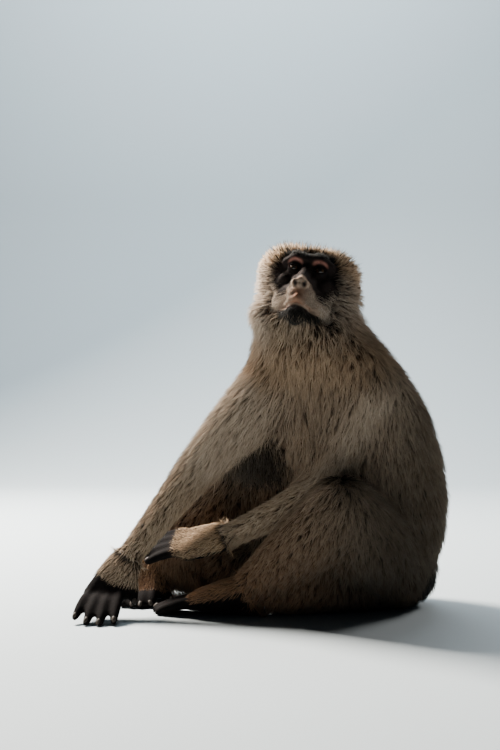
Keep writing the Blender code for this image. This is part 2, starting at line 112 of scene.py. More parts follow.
def makeSweep():
    # A level floor that curves up into a wall across the camera's view
    settings = stageSettings
    half = settings["sweepWidth"] / 2
    bm = bmesh.new()
    edge = [bm.verts.new((side * half, -settings["sweepFront"], 0.0)) for side in (-1, 1)]
    lead = bm.edges.new(edge)
    reach = settings["sweepFront"] + settings["sweepBack"]
    grown = bmesh.ops.extrude_edge_only(bm, edges=[lead])["geom"]
    ends = [item for item in grown if isinstance(item, bmesh.types.BMVert)]
    bmesh.ops.translate(bm, verts=ends, vec=(0.0, reach, 0.0))
    turned = [item for item in grown if isinstance(item, bmesh.types.BMEdge) and set(item.verts) == set(ends)]
    spun = bmesh.ops.spin(bm, geom=ends + turned, axis=(1.0, 0.0, 0.0), angle=math.radians(90.0), steps=24,
                          cent=(0.0, settings["sweepBack"], settings["sweepRadius"]))["geom_last"]
    rim = [item for item in spun if isinstance(item, bmesh.types.BMEdge)]
    raised = bmesh.ops.extrude_edge_only(bm, edges=rim)["geom"]
    bmesh.ops.translate(bm, verts=[item for item in raised if isinstance(item, bmesh.types.BMVert)],
                        vec=(0.0, 0.0, settings["sweepHeight"]))
    heading = Matrix.Rotation(math.radians(settings["cameraHeading"]), 4, "Z")
    bmesh.ops.transform(bm, matrix=heading, verts=bm.verts)
    bmesh.ops.recalc_face_normals(bm, faces=bm.faces)
    sweep = bpy.data.objects.new("sweep", bpy.data.meshes.new("sweep"))
    bm.to_mesh(sweep.data)
    bm.free()
    sweep.data.shade_smooth()
    material = bpy.data.materials.new("sweepPaint")
    material.use_nodes = True
    shader = material.node_tree.nodes["Principled BSDF"]
    shader.inputs["Base Color"].default_value = (*settings["sweepColour"], 1.0)
    shader.inputs["Roughness"].default_value = 0.9
    sweep.data.materials.append(material)
    bpy.context.scene.collection.objects.link(sweep)


def makeStage():
    makeSweep()
    world = bpy.data.worlds.new("studio")
    world.use_nodes = True
    background = world.node_tree.nodes["Background"]
    background.inputs["Color"].default_value = (*stageSettings["skyColour"], 1.0)
    background.inputs["Strength"].default_value = stageSettings["skyStrength"]
    bpy.context.scene.world = world
    middle = (0.0, 0.0, 0.3)
    makeAreaLight("keyLight", (-1.72, 0.25, 1.80), middle, 0.75, stageSettings["keyPower"], (1.0, 0.92, 0.82))
    makeAreaLight("rimLight", (0.9, 1.9, 1.7), middle, 0.9, stageSettings["rimPower"], (1.0, 0.95, 0.9))
    # The wall has a light of its own, behind the animal and turned away from it
    heading = Matrix.Rotation(math.radians(stageSettings["cameraHeading"]), 3, "Z")
    makeAreaLight("wallLight", heading @ Vector((0.0, 1.9, 3.2)), heading @ Vector((0.0, 3.5, 1.0)),
                  3.0, stageSettings["wallPower"], (0.86, 0.95, 1.0))


makeCamera()
makeStage()
print("stage ready")


# Landmarks, all read from the frame

def coordsOf(name):
    mesh = nodes[name].data
    coords = np.empty(len(mesh.vertices) * 3, np.float32)
    mesh.vertices.foreach_get("co", coords)
    return coords.reshape(-1, 3).astype(float)


def middleOf(name):
    low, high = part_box(name)
    return (low + high) / 2


def jointOf(first, second, reach=0.0015):
    # Middle of the face where one part meets another
    tree = BVHTree.FromObject(nodes[second], bpy.context.evaluated_depsgraph_get())
    near = np.array([point for point in coordsOf(first) if tree.find_nearest(point)[3] < reach])
    return Vector((near.min(0) + near.max(0)) / 2)


def farEnd(name, start, share=0.30):
    # Middle of the part of a node that lies furthest from its joint
    coords = coordsOf(name)
    away = np.linalg.norm(coords - np.array(start), axis=1)
    tip = coords[away > away.max() * (1.0 - share)]
    return Vector(tip.mean(0))


wrists = {side: jointOf("forearm_" + side, "hand_" + side) for side in sides}
elbows = {side: jointOf("upper_arm_" + side, "forearm_" + side) for side in sides}
shoulders = {side: farEnd("upper_arm_" + side, elbows[side]) for side in sides}
ankles = {side: jointOf("shank_" + side, "foot_" + side) for side in sides}
knees = {side: jointOf("thigh_" + side, "shank_" + side) for side in sides}
hips = {side: farEnd("thigh_" + side, knees[side]) for side in sides}
waist = jointOf("abdomen", "chest")
seat = middleOf("pelvis")

# The head's own directions: the eyes give the sideways one, eyes and ears the forward one
eyes = {side: middleOf("eye_" + side) for side in sides}
ears = {side: middleOf("ear_" + side) for side in sides}
headUnit = (eyes["l"] - eyes["r"]).length / 39.0
eyeForward = 37.0
eyeUp = 12.0
headLeft = (eyes["l"] - eyes["r"]).normalized()
earToEye = ((eyes["l"] + eyes["r"]) - (ears["l"] + ears["r"])) / 2
earToEye = (earToEye - headLeft * earToEye.dot(headLeft)).normalized()
headAhead = Matrix.Rotation(math.atan2(8.0, 53.0), 3, headLeft) @ earToEye
headUp = headAhead.cross(headLeft).normalized()
eyeMiddle = (eyes["l"] + eyes["r"]) / 2
headCentre = eyeMiddle - headAhead * eyeForward * headUnit - headUp * eyeUp * headUnit
headTurn = Matrix((headLeft, -headAhead, headUp)).transposed()
headPlace = Matrix.Translation(headCentre) @ headTurn.to_4x4() @ Matrix.Scale(headUnit, 4)


def headPoint(forward, up, left):
    # Place in the head's own units, before headPlace
    return Vector((left, -forward, up))


def inHead(coords):
    # World coordinates as forward, up and left in head units
    local = (coords - np.array(headCentre)) @ np.array(headTurn) / headUnit
    return -local[:, 1], local[:, 2], local[:, 0]


print("landmarks ready", {side: [round(v, 3) for v in wrists[side]] for side in sides})


# Mesh helpers

def link(name, mesh):
    holder = bpy.data.objects.new(name, mesh)
    bpy.context.scene.collection.objects.link(holder)
    return holder


def fromBmesh(name, bm):
    holder = link(name, bpy.data.meshes.new(name))
    bm.to_mesh(holder.data)
    bm.free()
    return holder


def applied(holder):
    # The modifiers become part of the mesh
    graph = bpy.context.evaluated_depsgraph_get()
    mesh = bpy.data.meshes.new_from_object(holder.evaluated_get(graph))
    holder.modifiers.clear()
    holder.data = mesh
    return holder


def remeshed(holder, voxel, rounds, strength=0.5):
    remesh = holder.modifiers.new("remesh", "REMESH")
    remesh.mode = "VOXEL"
    remesh.voxel_size = voxel
    smooth = holder.modifiers.new("smooth", "SMOOTH")
    smooth.iterations = rounds
    smooth.factor = strength
    return applied(holder)


def combined(holder, other, operation):
    # EXACT boolean, after which the other mesh is gone
    boolean = holder.modifiers.new("boolean", "BOOLEAN")
    boolean.operation = operation
    boolean.solver = "EXACT"
    boolean.object = other
    applied(holder)
    bpy.data.objects.remove(other)
    return holder


def volumeOf(mesh):
    bm = bmesh.new()
    bm.from_mesh(mesh)
    volume = bm.calc_volume(signed=True)
    bm.free()
    return volume


def united(base, pieces):
    # An exact union can lose a piece, so orders are tried until the volume holds
    for order in permutations(pieces):
        whole = link(base.name, base.data.copy())
        for piece in order:
            least = max(volumeOf(whole.data), volumeOf(piece.data)) * 0.999
            combined(whole, link(piece.name + "Copy", piece.data.copy()), "UNION")
            if volumeOf(whole.data) < least:
                break
        else:
            for spare in [base, *pieces]:
                bpy.data.objects.remove(spare)
            return whole
        print("union made again, lost", piece.name)
        bpy.data.objects.remove(whole)
    raise RuntimeError("no union of the skin")


def islandsOf(bm):
    seen, islands = set(), []
    for vertex in bm.verts:
        if vertex in seen:
            continue
        seen.add(vertex)
        island = [vertex]
        for member in island:
            for edge in member.link_edges:
                near = edge.other_vert(member)
                if near not in seen:
                    seen.add(near)
                    island.append(near)
        islands.append(island)
    return islands


def addBall(bm, place, radii, divisions=2):
    radii = Vector(radii) if hasattr(radii, "__len__") else Vector((radii,) * 3)
    matrix = Matrix.Translation(place) @ Matrix.Diagonal((*radii, 1.0))
    bmesh.ops.create_icosphere(bm, subdivisions=divisions, radius=1.0, matrix=matrix)


def addChain(bm, links, step=0.35):
    # Balls strung closely enough to read as one limb
    for (start, first), (end, second) in zip(links, links[1:]):
        first = Vector(first) if hasattr(first, "__len__") else Vector((first,) * 3)
        second = Vector(second) if hasattr(second, "__len__") else Vector((second,) * 3)
        gap = min(min(first), min(second)) * step
        count = max(2, math.ceil((end - start).length / gap))
        for index in range(count + 1):
            share = index / count
            addBall(bm, start.lerp(end, share), first.lerp(second, share))


def coordsOfMesh(mesh):
    coords = np.empty(len(mesh.vertices) * 3, np.float32)
    mesh.vertices.foreach_get("co", coords)
    return coords.reshape(-1, 3).astype(float)


def normalsOfMesh(mesh):
    normals = np.empty(len(mesh.vertices) * 3, np.float32)
    mesh.vertex_normals.foreach_get("vector", normals)
    return normals.reshape(-1, 3).astype(float)


def setCoords(mesh, coords):
    mesh.vertices.foreach_set("co", coords.astype(np.float32).ravel())
    mesh.update()


def edgesOfMesh(mesh):
    ends = np.empty(len(mesh.edges) * 2, np.int32)
    mesh.edges.foreach_get("vertices", ends)
    return ends.reshape(-1, 2)


def spreadOut(values, ends, rounds, pull=0.5):
    # Each value moves towards the mean of its neighbours
    count = np.bincount(ends.ravel(), minlength=len(values)).astype(float)
    count = np.maximum(count, 1.0).reshape((-1,) + (1,) * (values.ndim - 1))
    for _ in range(rounds):
        total = np.zeros_like(values)
        if values.ndim == 1:
            total += np.bincount(ends[:, 0], values[ends[:, 1]], len(values))
            total += np.bincount(ends[:, 1], values[ends[:, 0]], len(values))
        else:
            for axis in range(values.shape[1]):
                total[:, axis] += np.bincount(ends[:, 0], values[ends[:, 1], axis], len(values))
                total[:, axis] += np.bincount(ends[:, 1], values[ends[:, 0], axis], len(values))
        values = values + (total / count - values) * pull
    return values


def unit(vectors):
    return vectors / np.maximum(np.linalg.norm(vectors, axis=-1, keepdims=True), 1e-9)


def ramp(values, start, end):
    # 0 before start, 1 after end, smooth between
    share = np.clip((values - start) / (end - start), 0.0, 1.0)
    return share * share * (3.0 - 2.0 * share)


def nodeCopy(name, parts, grow):
    # One new mesh from merged copies of CAD parts, a little swollen
    bm = bmesh.new()
    for part in parts:
        bm.from_mesh(nodes[part].data)
    bmesh.ops.remove_doubles(bm, verts=bm.verts, dist=1e-5)
    bm.normal_update()
    for vertex in bm.verts:
        vertex.co += vertex.normal * grow
    return fromBmesh(name, bm)


# Outer face of the coat, with what lies where on it

coatSettings = {
    # region: coat depth, hair length, both in metres
    "head": (0.010, 0.020),
    "neck": (0.026, 0.046),
    "chest": (0.022, 0.042),
    "abdomen": (0.020, 0.040),
    "pelvis": (0.020, 0.042),
    "upper_arm": (0.016, 0.040),
    "forearm": (0.009, 0.030),
    "hand": (0.0015, 0.010),
    "thigh": (0.018, 0.042),
    "shank": (0.010, 0.030),
    "foot": (0.0015, 0.010),
}
outlineVoxel = 0.0038

outline = nodeCopy("outline", [n for n in fleshNodes if not n.startswith("ear")], 0.0006)
remeshed(outline, outlineVoxel, 3)
outlineCoords = coordsOfMesh(outline.data)
outlineEdges = edgesOfMesh(outline.data)
outlineNormals = unit(spreadOut(normalsOfMesh(outline.data), outlineEdges, 10))
outlineTree = BVHTree.FromObject(outline, bpy.context.evaluated_depsgraph_get())
outlinePoints = KDTree(len(outlineCoords))
for index, point in enumerate(outlineCoords):
    outlinePoints.insert(point, index)
outlinePoints.balance()

partNames = [n for n in fleshNodes if not n.startswith("ear")]
partRegions = [n[:-2] if n[-2:] in ("_l", "_r") else n for n in partNames]
partTrees = [BVHTree.FromObject(nodes[n], bpy.context.evaluated_depsgraph_get()) for n in partNames]
joined = [("head", "neck"), ("neck", "chest"), ("chest", "abdomen"), ("abdomen", "pelvis")]
for side in ("_l", "_r"):
    joined += [("chest", "upper_arm" + side), ("upper_arm" + side, "forearm" + side)]
    joined += [("forearm" + side, "hand" + side), ("pelvis", "thigh" + side)]
    joined += [("abdomen", "thigh" + side), ("thigh" + side, "shank" + side)]
    joined += [("shank" + side, "foot" + side)]


def sharesOf(coords, ends):
    # How much each body part counts at each point: its own part and those joined to it
    gaps = np.array([[tree.find_nearest(point)[3] for tree in partTrees] for point in coords])
    allowed = np.eye(len(partNames))
    for first, second in joined:
        one, two = partNames.index(first), partNames.index(second)
        allowed[one, two] = allowed[two, one] = 1.0
    owner = gaps.argmin(1)
    nearest = gaps.min(1)[:, None]
    shares = np.exp(-(gaps - nearest) / 0.011) * allowed[owner]
    shares = spreadOut(shares, ends, 8)
    return shares / shares.sum(1, keepdims=True)


outlineShares = sharesOf(outlineCoords, outlineEdges)
kneeTops = {}
for side in sides:
    leg = np.concatenate([coordsOf("thigh_" + side), coordsOf("shank_" + side)])
    kneeTops[side] = leg[leg[:, 2].argmax()]
down = np.array((0.0, 0.0, -1.0))
trunkAxis = (np.array(waist) + np.array(seat)) / 2


def partFlow(name, coords):
    # Which way the hair lies on one body part
    side = name[-1]
    region = name[:-2] if name[-2:] in ("_l", "_r") else name
    if region == "head":
        forward, up, left = inHead(coords)
        away = unit(np.stack((forward - 62.0, up + 6.0, left), 1))
        away[:, 0] -= 0.35
        ahead, above, beside = away[:, 0:1], away[:, 1:2], away[:, 2:3]
        away = beside * np.array(headLeft) + ahead * np.array(headAhead) + above * np.array(headUp)
        return unit(away + down * 0.30 * ramp(-up, -10.0, 40.0)[:, None])
    if region in ("neck", "chest", "abdomen", "pelvis"):
        out = coords - trunkAxis
        out[:, 2] = 0.0
        return unit(down + unit(out) * {"neck": 0.35, "chest": 0.18, "abdomen": 0.10, "pelvis": 0.12}[region])
    if region == "upper_arm":
        return unit(np.array((elbows[side] - shoulders[side]).normalized()) * 0.8 + down * 0.45 + coords * 0)
    if region == "forearm":
        return unit(np.array((wrists[side] - elbows[side]).normalized()) + down * 0.30 + coords * 0)
    if region == "hand":
        return unit(coords - np.array(wrists[side] + (elbows[side] - wrists[side]).normalized() * 0.04))
    if region == "thigh":
        return unit(unit(coords - kneeTops[side]) * 0.55 + down * 0.75)
    if region == "shank":
        along = np.array((ankles[side] - Vector(kneeTops[side])).normalized())
        return unit(along * 0.8 + down * 0.45 + coords * 0)
    return unit(coords - np.array(ankles[side] + (Vector(kneeTops[side]) - ankles[side]).normalized() * 0.04))


def flowAt(coords, normals, shares):
    total = np.zeros_like(coords)
    for index, name in enumerate(partNames):
        total += partFlow(name, coords) * shares[:, index:index + 1]
    flat = total - normals * (total * normals).sum(1, keepdims=True)
    return unit(flat)


def alongLimb(coords, start, end):
    # 0 at the start of a bone, 1 at its end
    axis = np.array(end) - np.array(start)
    return np.clip((coords - np.array(start)) @ axis / (axis @ axis), 0.0, 1.0)


def coatDepth(coords, shares):
    depth = shares @ np.array([coatSettings[region][0] for region in partRegions])
    length = shares @ np.array([coatSettings[region][1] for region in partRegions])
    for index, name in enumerate(partNames):
        side = name[-1]
        if name.startswith("forearm"):
            share = alongLimb(coords, elbows[side], wrists[side]) * shares[:, index]
        elif name.startswith("shank"):
            share = alongLimb(coords, kneeTops[side], ankles[side]) * shares[:, index]
        else:
            continue
        depth -= share * 0.0055
        length -= share * 0.008
    forward, up, left = inHead(coords)
    headShare = shares[:, partNames.index("head")]
    # Crown hair is short, the ruff of the cheeks long, the face bare
    ruff = ramp(np.abs(left), 34.0, 62.0) * ramp(-forward, -30.0, 0.0) * ramp(-up, -25.0, 20.0)
    depth += headShare * (ruff * 0.010 + ramp(-forward, 20.0, 60.0) * 0.006)
    length += headShare * (ruff * 0.014 + ramp(-forward, 0.0, 50.0) * 0.010)
    return depth, length


outlineFlow = flowAt(outlineCoords, outlineNormals, outlineShares)
outlineFlow = unit(spreadOut(outlineFlow, outlineEdges, 12))
outlineDepth, outlineLength = coatDepth(outlineCoords, outlineShares)
# The short hair of the crown stands up, clear of the outline
forward, up, left = inHead(outlineCoords)
onHead = outlineShares[:, partNames.index("head")]
crownHair = onHead * ramp(up, 22.0, 44.0) * ramp(forward, -45.0, -10.0)
hoodHair = onHead * ramp(forward, -35.0, 0.0) * ramp(up, -40.0, -5.0)
outlineStand = crownHair * 0.0035 + hoodHair * 0.0012
outlineLength = outlineLength * (1.0 - 0.42 * hoodHair)
outlineDepth = spreadOut(outlineDepth, outlineEdges, 20)
print("outline ready", len(outlineCoords), "points")


# Skin of the trunk and limbs: the outline sunk by the coat's depth

coreSettings = {
    "voxel": 0.0045,
    "sunkVoxel": 0.0060,
    "steps": 12,             # the skin sinks below the outline in this many steps
}
bodyParts = [n for n in partNames if n[:4] not in ("hand", "foot")]
core = nodeCopy("core", bodyParts, 0.0006)
fill = bmesh.new()
fill.from_mesh(core.data)
# Wrists and ankles run on into the hands and feet that meet them
for side in sides:
    hand, foot = middleOf("hand_" + side), middleOf("foot_" + side)
    addChain(fill, [(wrists[side], 0.0185), (wrists[side].lerp(hand, 0.45), 0.0165)])
    addChain(fill, [(ankles[side], 0.0245), (ankles[side].lerp(foot, 0.35), 0.0200)])
# A fold of skin joins the propped arm to the breast, filling the shaded gap between them; its skin and hair
# are painted dark as shade
armFold = elbows["r"].lerp(waist, 0.36)
addChain(fill, [(armFold, 0.036), (elbows["r"].lerp(waist, 0.55), 0.046)])
fill.to_mesh(core.data)
fill.free()
remeshed(core, coreSettings["voxel"], 3)
coreCoords = coordsOfMesh(core.data)
coreEdges = edgesOfMesh(core.data)
coreShares = sharesOf(coreCoords, coreEdges)
coreDepth = coatDepth(coreCoords, coreShares)[0]
# The face of this rough form sinks well inside the finer head
coreForward = inHead(coreCoords)[0]
coreDepth += coreShares[:, partNames.index("head")] * (0.004 + 0.012 * ramp(coreForward, -10.0, 25.0))
coreDepth = spreadOut(coreDepth, coreEdges, 30)
for _ in range(coreSettings["steps"]):
    coreCoords = coreCoords - normalsOfMesh(core.data) * (coreDepth / coreSettings["steps"])[:, None]
    coreCoords = spreadOut(coreCoords, coreEdges, 3)
    setCoords(core.data, coreCoords)
remeshed(core, coreSettings["sunkVoxel"], 2)
print("core sunk", len(core.data.vertices))


# Hands and feet, finer than the limbs

pawSettings = {"thin": -0.0006, "voxel": 0.0019, "cuff": 0.0030}
paws = []
for name in ("hand_l", "hand_r", "foot_l", "foot_r"):
    paw = nodeCopy(name + "Skin", [name], pawSettings["thin"])
    rounder = paw.modifiers.new("rounder", "SUBSURF")
    rounder.levels = rounder.render_levels = 2
    applied(paw)
    remeshed(paw, pawSettings["voxel"], 2)
    start = wrists[name[-1]] if name.startswith("hand") else ankles[name[-1]]
    coords = coordsOfMesh(paw.data)
    cuff = 1.0 - ramp(np.linalg.norm(coords - np.array(start), axis=1), 0.012, 0.055)
    coords -= normalsOfMesh(paw.data) * (cuff * pawSettings["cuff"])[:, None]
    setCoords(paw.data, spreadOut(coords, edgesOfMesh(paw.data), 2))
    paws.append(paw)
print("paws ready", [len(paw.data.vertices) for paw in paws])


# Head: skull, face and jaw in head units

headSettings = {
    "roughVoxel": 0.0022,      # while the masses melt together
    "voxel": 0.00142,          # once lids, lips and ears are on
}


def headBall(bm, forward, up, left, radii):
    # Radii as forward, up and left
    radii = radii if hasattr(radii, "__len__") else (radii,) * 3
    addBall(bm, headPoint(forward, up, left), (radii[2], radii[0], radii[1]), 3)


def headChain(bm, links):
    addChain(bm, [(headPoint(*place), Vector((size[2], size[0], size[1])) if hasattr(size, "__len__")
                   else Vector((size,) * 3)) for place, size in links], 0.3)


# Soft masses of the skull, face and jaw, melted together
headMesh = bmesh.new()
headBall(headMesh, -20, 6, 0, (58, 44, 50))
headBall(headMesh, -34, -30, 0, (44, 44, 46))
headBall(headMesh, 20, 4, 0, (26, 28, 38))
headBall(headMesh, 16, 20, 0, (26, 20, 37))
headBall(headMesh, 20, -60, 0, (44, 18, 28))
for side in (1, -1):
    headBall(headMesh, 2, 22, 36 * side, (26, 24, 24))
    headBall(headMesh, 6, 26, 42 * side, (20, 20, 20))
    headBall(headMesh, 14, 34, 28 * side, (18, 12, 16))
    headBall(headMesh, 27, -7, 31 * side, (17, 14, 13))
    headBall(headMesh, 6, -14, 40 * side, (30, 24, 14))
    headBall(headMesh, 26, -40, 28 * side, (24, 22, 16))
    headBall(headMesh, 4, -46, 34 * side, (26, 22, 16))
    headChain(headMesh, [((47, 25.5, 4 * side), 7.5), ((45.5, 27.5, 19 * side), 8.0),
                         ((34, 21.5, 35 * side), 7.5)])
    headChain(headMesh, [((0, -50, 34 * side), (14, 11, 9)), ((40, -61, 22 * side), (12, 9, 9)),
                         ((66, -66, 7 * side), (9, 8, 9))])
    headChain(headMesh, [((34, -30, 22 * side), (18, 18, 12)), ((67, -42, 13 * side), (14, 12, 10.5))])
    headChain(headMesh, [((36, -4, 10 * side), (12, 12, 11)), ((70, -27, 8 * side), (10, 10, 9))])
headChain(headMesh, [((30, -18, 0), (24, 24, 26)), ((65, -36, 0), (19, 18, 19))])
headChain(headMesh, [((42, 14, 0), (8, 8, 8.5)), ((60, -5, 0), (8, 8, 8)), ((79, -21.5, 0), (6, 6, 7))])
headBall(headMesh, 60, -69, 0, (14, 10, 14))
bmesh.ops.transform(headMesh, matrix=headPlace, verts=headMesh.verts)
head = fromBmesh("headSkin", headMesh)
remeshed(head, headSettings["roughVoxel"], 11, 0.6)

# Lids, lips, nostril wings and ears go on the melted form
features = bmesh.new()
for side in (1, -1):
    headBall(features, 37, 12, 19.5 * side, 11.3)
    headChain(features, [((48.5, 24, 10 * side), 4.5), ((48, 26.5, 19 * side), 5.0),
                         ((39, 22, 32 * side), 4.5)])
    headBall(features, 82.5, -25.5, 8.0 * side, (5.0, 5.2, 4.8))
    headBall(features, 77, -26, 10.5 * side, (7, 5.2, 4.6))
    headChain(features, [((-12, -2, 44 * side), (6, 9, 8)), ((-16, 3, 78 * side), (10, 16, 3))])
headBall(features, 83.5, -21.5, 0, (4.6, 5.0, 6.0))
headBall(features, 84, -29.5, 0, (4.0, 5.0, 3.0))
headChain(features, [((46, -50, 25), 5), ((60, -52, 21), 5.5), ((73, -50.5, 14), 6), ((81, -48, 0), 6.4),
                     ((73, -50.5, -14), 6), ((60, -52, -21), 5.5), ((46, -50, -25), 5)])
headChain(features, [((46, -59.5, 21), 4.5), ((60, -61, 17), 4.8), ((70, -60.5, 10), 5),
                     ((75.5, -59, 0), 5.2), ((70, -60.5, -10), 5), ((60, -61, -17), 4.8),
                     ((46, -59.5, -21), 4.5)])
bmesh.ops.transform(features, matrix=headPlace, verts=features.verts)
features.from_mesh(head.data)
features.to_mesh(head.data)
features.free()
remeshed(head, headSettings["voxel"], 4)

# Folds as forward, up, left; the other side mirrors them
mouthLine = [(43, -54, 29), (52, -55.5, 24), (62, -56.2, 19), (72, -55.5, 12), (77, -54.3, 5), (78, -54, 0)]
foldSettings = [
    # points, width, depth in head units
    ([(46, 14, 9), (49, 20, 14.5), (50, 22, 20), (48, 20.5, 26), (42, 15, 31.5)], 1.5, 1.7),
    ([(47, 7, 10), (48, 2.5, 16), (47, 2, 22), (43, 5.5, 29)], 1.6, 1.5),
    ([(47, 3, 10), (46, -3.5, 17), (44, -3, 25), (40, 2, 32)], 1.9, 1.3),
    ([(72, -20, 12), (64, -33, 21), (53, -46, 28)], 2.4, 1.6),
    (mouthLine, 1.5, 3.6),
    ([(88, -32, 0), (87, -44, 0)], 1.3, 1.3),
    ([(89.0, -26.5, 5.0), (87.5, -28.0, 7.5), (84.5, -29.5, 10.5)], 2.5, 7.0),
    ([(79, -20, 8.5), (74, -24, 13.5), (77, -31, 12.5)], 1.4, 1.3),
    ([(50, 20, 0), (51, 17, 6)], 1.5, 1.0),
    ([(30, -18, 42), (18, -28, 50), (8, -42, 50)], 3.0, 1.6),
]


def gapToLine(coords, points):
    best = np.full(len(coords), 1e9)
    for start, end in zip(points, points[1:]):
        start, end = np.array(start, float), np.array(end, float)
        axis = end - start
        share = np.clip((coords - start) @ axis / (axis @ axis), 0.0, 1.0)
        best = np.minimum(best, np.linalg.norm(coords - start - share[:, None] * axis, axis=1))
    return best


def snoutWidth(forward, up):
    # Snout and jaw end up narrower than the masses they were melted from
    return 1.0 - 0.27 * ramp(forward, 30.0, 56.0) * ramp(-up, 20.0, 38.0)


headCoords = coordsOfMesh(head.data)
forward, up, left = inHead(headCoords)
local = np.stack((forward, up, np.abs(left)), 1)
sink = np.zeros(len(headCoords))
for points, width, depth in foldSettings:
    sink += depth * np.exp(-(gapToLine(local, points) / width) ** 2)
headNormals = normalsOfMesh(head.data)
# The bowl of each ear
bowl = np.linalg.norm(np.stack(((forward + 16) / 8.5, (up - 3) / 14.0), 1), axis=1)
outward = (headNormals @ np.array(headLeft)) * np.sign(left)
sink += np.where((np.abs(left) > 70) & (outward > 0.2), 9.0 * np.clip(1.0 - bowl ** 2, 0.0, 1.0), 0.0)
headCoords -= headNormals * (sink * headUnit)[:, None]
headCoords = spreadOut(headCoords, edgesOfMesh(head.data), 1, 0.35)
headCoords += (left * (snoutWidth(forward, up) - 1.0) * headUnit)[:, None] * np.array(headLeft)
setCoords(head.data, headCoords)

# Sockets that hold the eyeballs, opened by an almond between the lids
eyeSettings = {
    "radius": 0.0092,
    "gap": 0.00012,
    "halfWidth": 0.0082,
    "upper": 0.0038,
    "lower": 0.0028,
    "lookDown": 12.0,      # degrees, from the way the head faces
    "lookOut": 4.0,
    "cornersRound": 36,    # of the almond between the lids
}


def eyeFrame(side):
    # The eyeball's place, its +Z along the gaze and +Y up
    sign = sides[side]
    turned = Matrix.Rotation(math.radians(eyeSettings["lookDown"]), 4, "X")
    spread = Matrix.Rotation(math.radians(eyeSettings["lookOut"] * sign), 4, "Z")
    facing = Matrix.Rotation(math.radians(90.0), 4, "X")
    return Matrix.Translation(eyes[side]) @ headTurn.to_4x4() @ spread @ turned @ facing


def almond(side):
    bm = bmesh.new()
    bmesh.ops.create_circle(bm, cap_ends=True, segments=eyeSettings["cornersRound"], radius=1.0)
    sign = sides[side]
    for vertex in bm.verts:
        height = eyeSettings["upper"] if vertex.co.y > 0 else eyeSettings["lower"]
        inward = vertex.co.x * -sign
        y = vertex.co.y * height * (1.0 - 0.18 * inward * abs(inward)) - 0.0011 * inward
        vertex.co = Vector((vertex.co.x * eyeSettings["halfWidth"], y, 0.0))
    face = bm.faces[:]
    grown = bmesh.ops.extrude_face_region(bm, geom=face)
    lifted = [item for item in grown["geom"] if isinstance(item, bmesh.types.BMVert)]
    bmesh.ops.translate(bm, verts=lifted, vec=(0.0, 0.0, 0.024))
    bmesh.ops.recalc_face_normals(bm, faces=bm.faces)
    bmesh.ops.transform(bm, matrix=eyeFrame(side), verts=bm.verts)
    return fromBmesh("almond", bm)


for side in sides:
    opening = almond(side)
    ball = bmesh.new()
    radius = eyeSettings["radius"] + eyeSettings["gap"]
    bmesh.ops.create_uvsphere(ball, u_segments=48, v_segments=32, radius=radius, matrix=eyeFrame(side))
    combined(opening, fromBmesh("socketBall", ball), "UNION")
    combined(head, opening, "DIFFERENCE")
print("head ready", len(head.data.vertices))


# One skin out of all of these
skin = united(core, [head, *paws[::-1]])
skin.name = "skin"
whole = bmesh.new()
whole.from_mesh(skin.data)
crumbs = [vertex for island in islandsOf(whole) if len(island) < 60 for vertex in island]
bmesh.ops.delete(whole, geom=crumbs, context="VERTS")
whole.to_mesh(skin.data)
whole.free()
print("skin joined", len(skin.data.vertices), len(skin.data.polygons))
skin.data.shade_smooth()


# Markings with painted shade, the same on skin and coat

def marksAndShadeAt(coords, shares):
    # Pale, golden, rusty and dark shares of the colour at each point; the dark share also carries painted
    # shade
    def share(*regions):
        return shares @ np.array([1.0 if region in regions else 0.0 for region in partRegions])

    forward, up, left = inHead(coords)
    onHead = share("head")
    front = (coords - trunkAxis) @ np.array((-0.42, -0.90, 0.0))
    breast = share("neck", "chest", "abdomen") * ramp(front, 0.02, 0.09)
    cheek = onHead * ramp(-up, -8.0, 22.0) * ramp(np.abs(left), 34.0, 52.0) * ramp(forward, -40.0, -5.0)
    hood = onHead * ramp(forward, -30.0, 5.0) * ramp(up, -20.0, 10.0)
    pale = (breast * 0.40 + cheek * 0.8 + hood * 0.38 + share("forearm", "upper_arm") * 0.60
            + share("hand") * 0.7)
    crown = onHead * ramp(up, 2.0, 30.0)
    gold = (crown * 0.70 + share("neck") * 0.3 + breast * 0.28 + share("upper_arm") * 0.2
            + share("forearm", "hand") * 0.45)
    rust = share("foot") * 0.78 + breast * 0.26
    shins = np.zeros(len(coords))
    for side in sides:
        shank = shares[:, partNames.index("shank_" + side)]
        along = alongLimb(coords, kneeTops[side], ankles[side])
        rust += shank * (0.18 + 0.50 * along)
        shins += shank * (0.60 - 0.35 * along)
        thigh = shares[:, partNames.index("thigh_" + side)]
        rust += thigh * 0.5 * ramp(-coords[:, 2], -0.075, -0.02)
    rump = np.linalg.norm(coords - rumpPatch, axis=1)
    brow = onHead * np.exp(-((up - 36.0) / 5.0) ** 2) * ramp(forward, 15.0, 35.0)
    brow *= ramp(-np.abs(left), -46.0, -30.0)
    # The coat in a ring round the face is darkened, partly dusky hair and partly painted shade
    faceRim = np.abs(np.hypot(left / 46.0, (up - 2.0) / 40.0) - 1.0)
    mask = onHead * ramp(-faceRim, -0.22, -0.05) * ramp(forward, 0.0, 22.0)
    dark = brow * 0.9 + mask * 0.55 + ramp(-rump, -0.055, -0.025) * 0.9
    # The back, the sides of the trunk, the belly, the thighs and the shins are darkened: partly their own
    # grey-brown coat, partly painted shade
    backSide = ramp(-front, -0.03, 0.06)
    dark += share("chest", "pelvis") * (0.10 + 0.18 * backSide) + share("abdomen") * (0.22 + 0.08 * backSide)
    flankSide = np.abs((coords - trunkAxis) @ np.array((0.90, -0.42, 0.0)))
    dark += share("chest", "abdomen") * 0.24 * ramp(flankSide, 0.015, 0.075) * ramp(front, -0.10, 0.0)
    dark += share("thigh") * 0.62 + shins
    return np.clip(np.stack((pale, gold, rust, dark), 1), 0.0, 1.0)


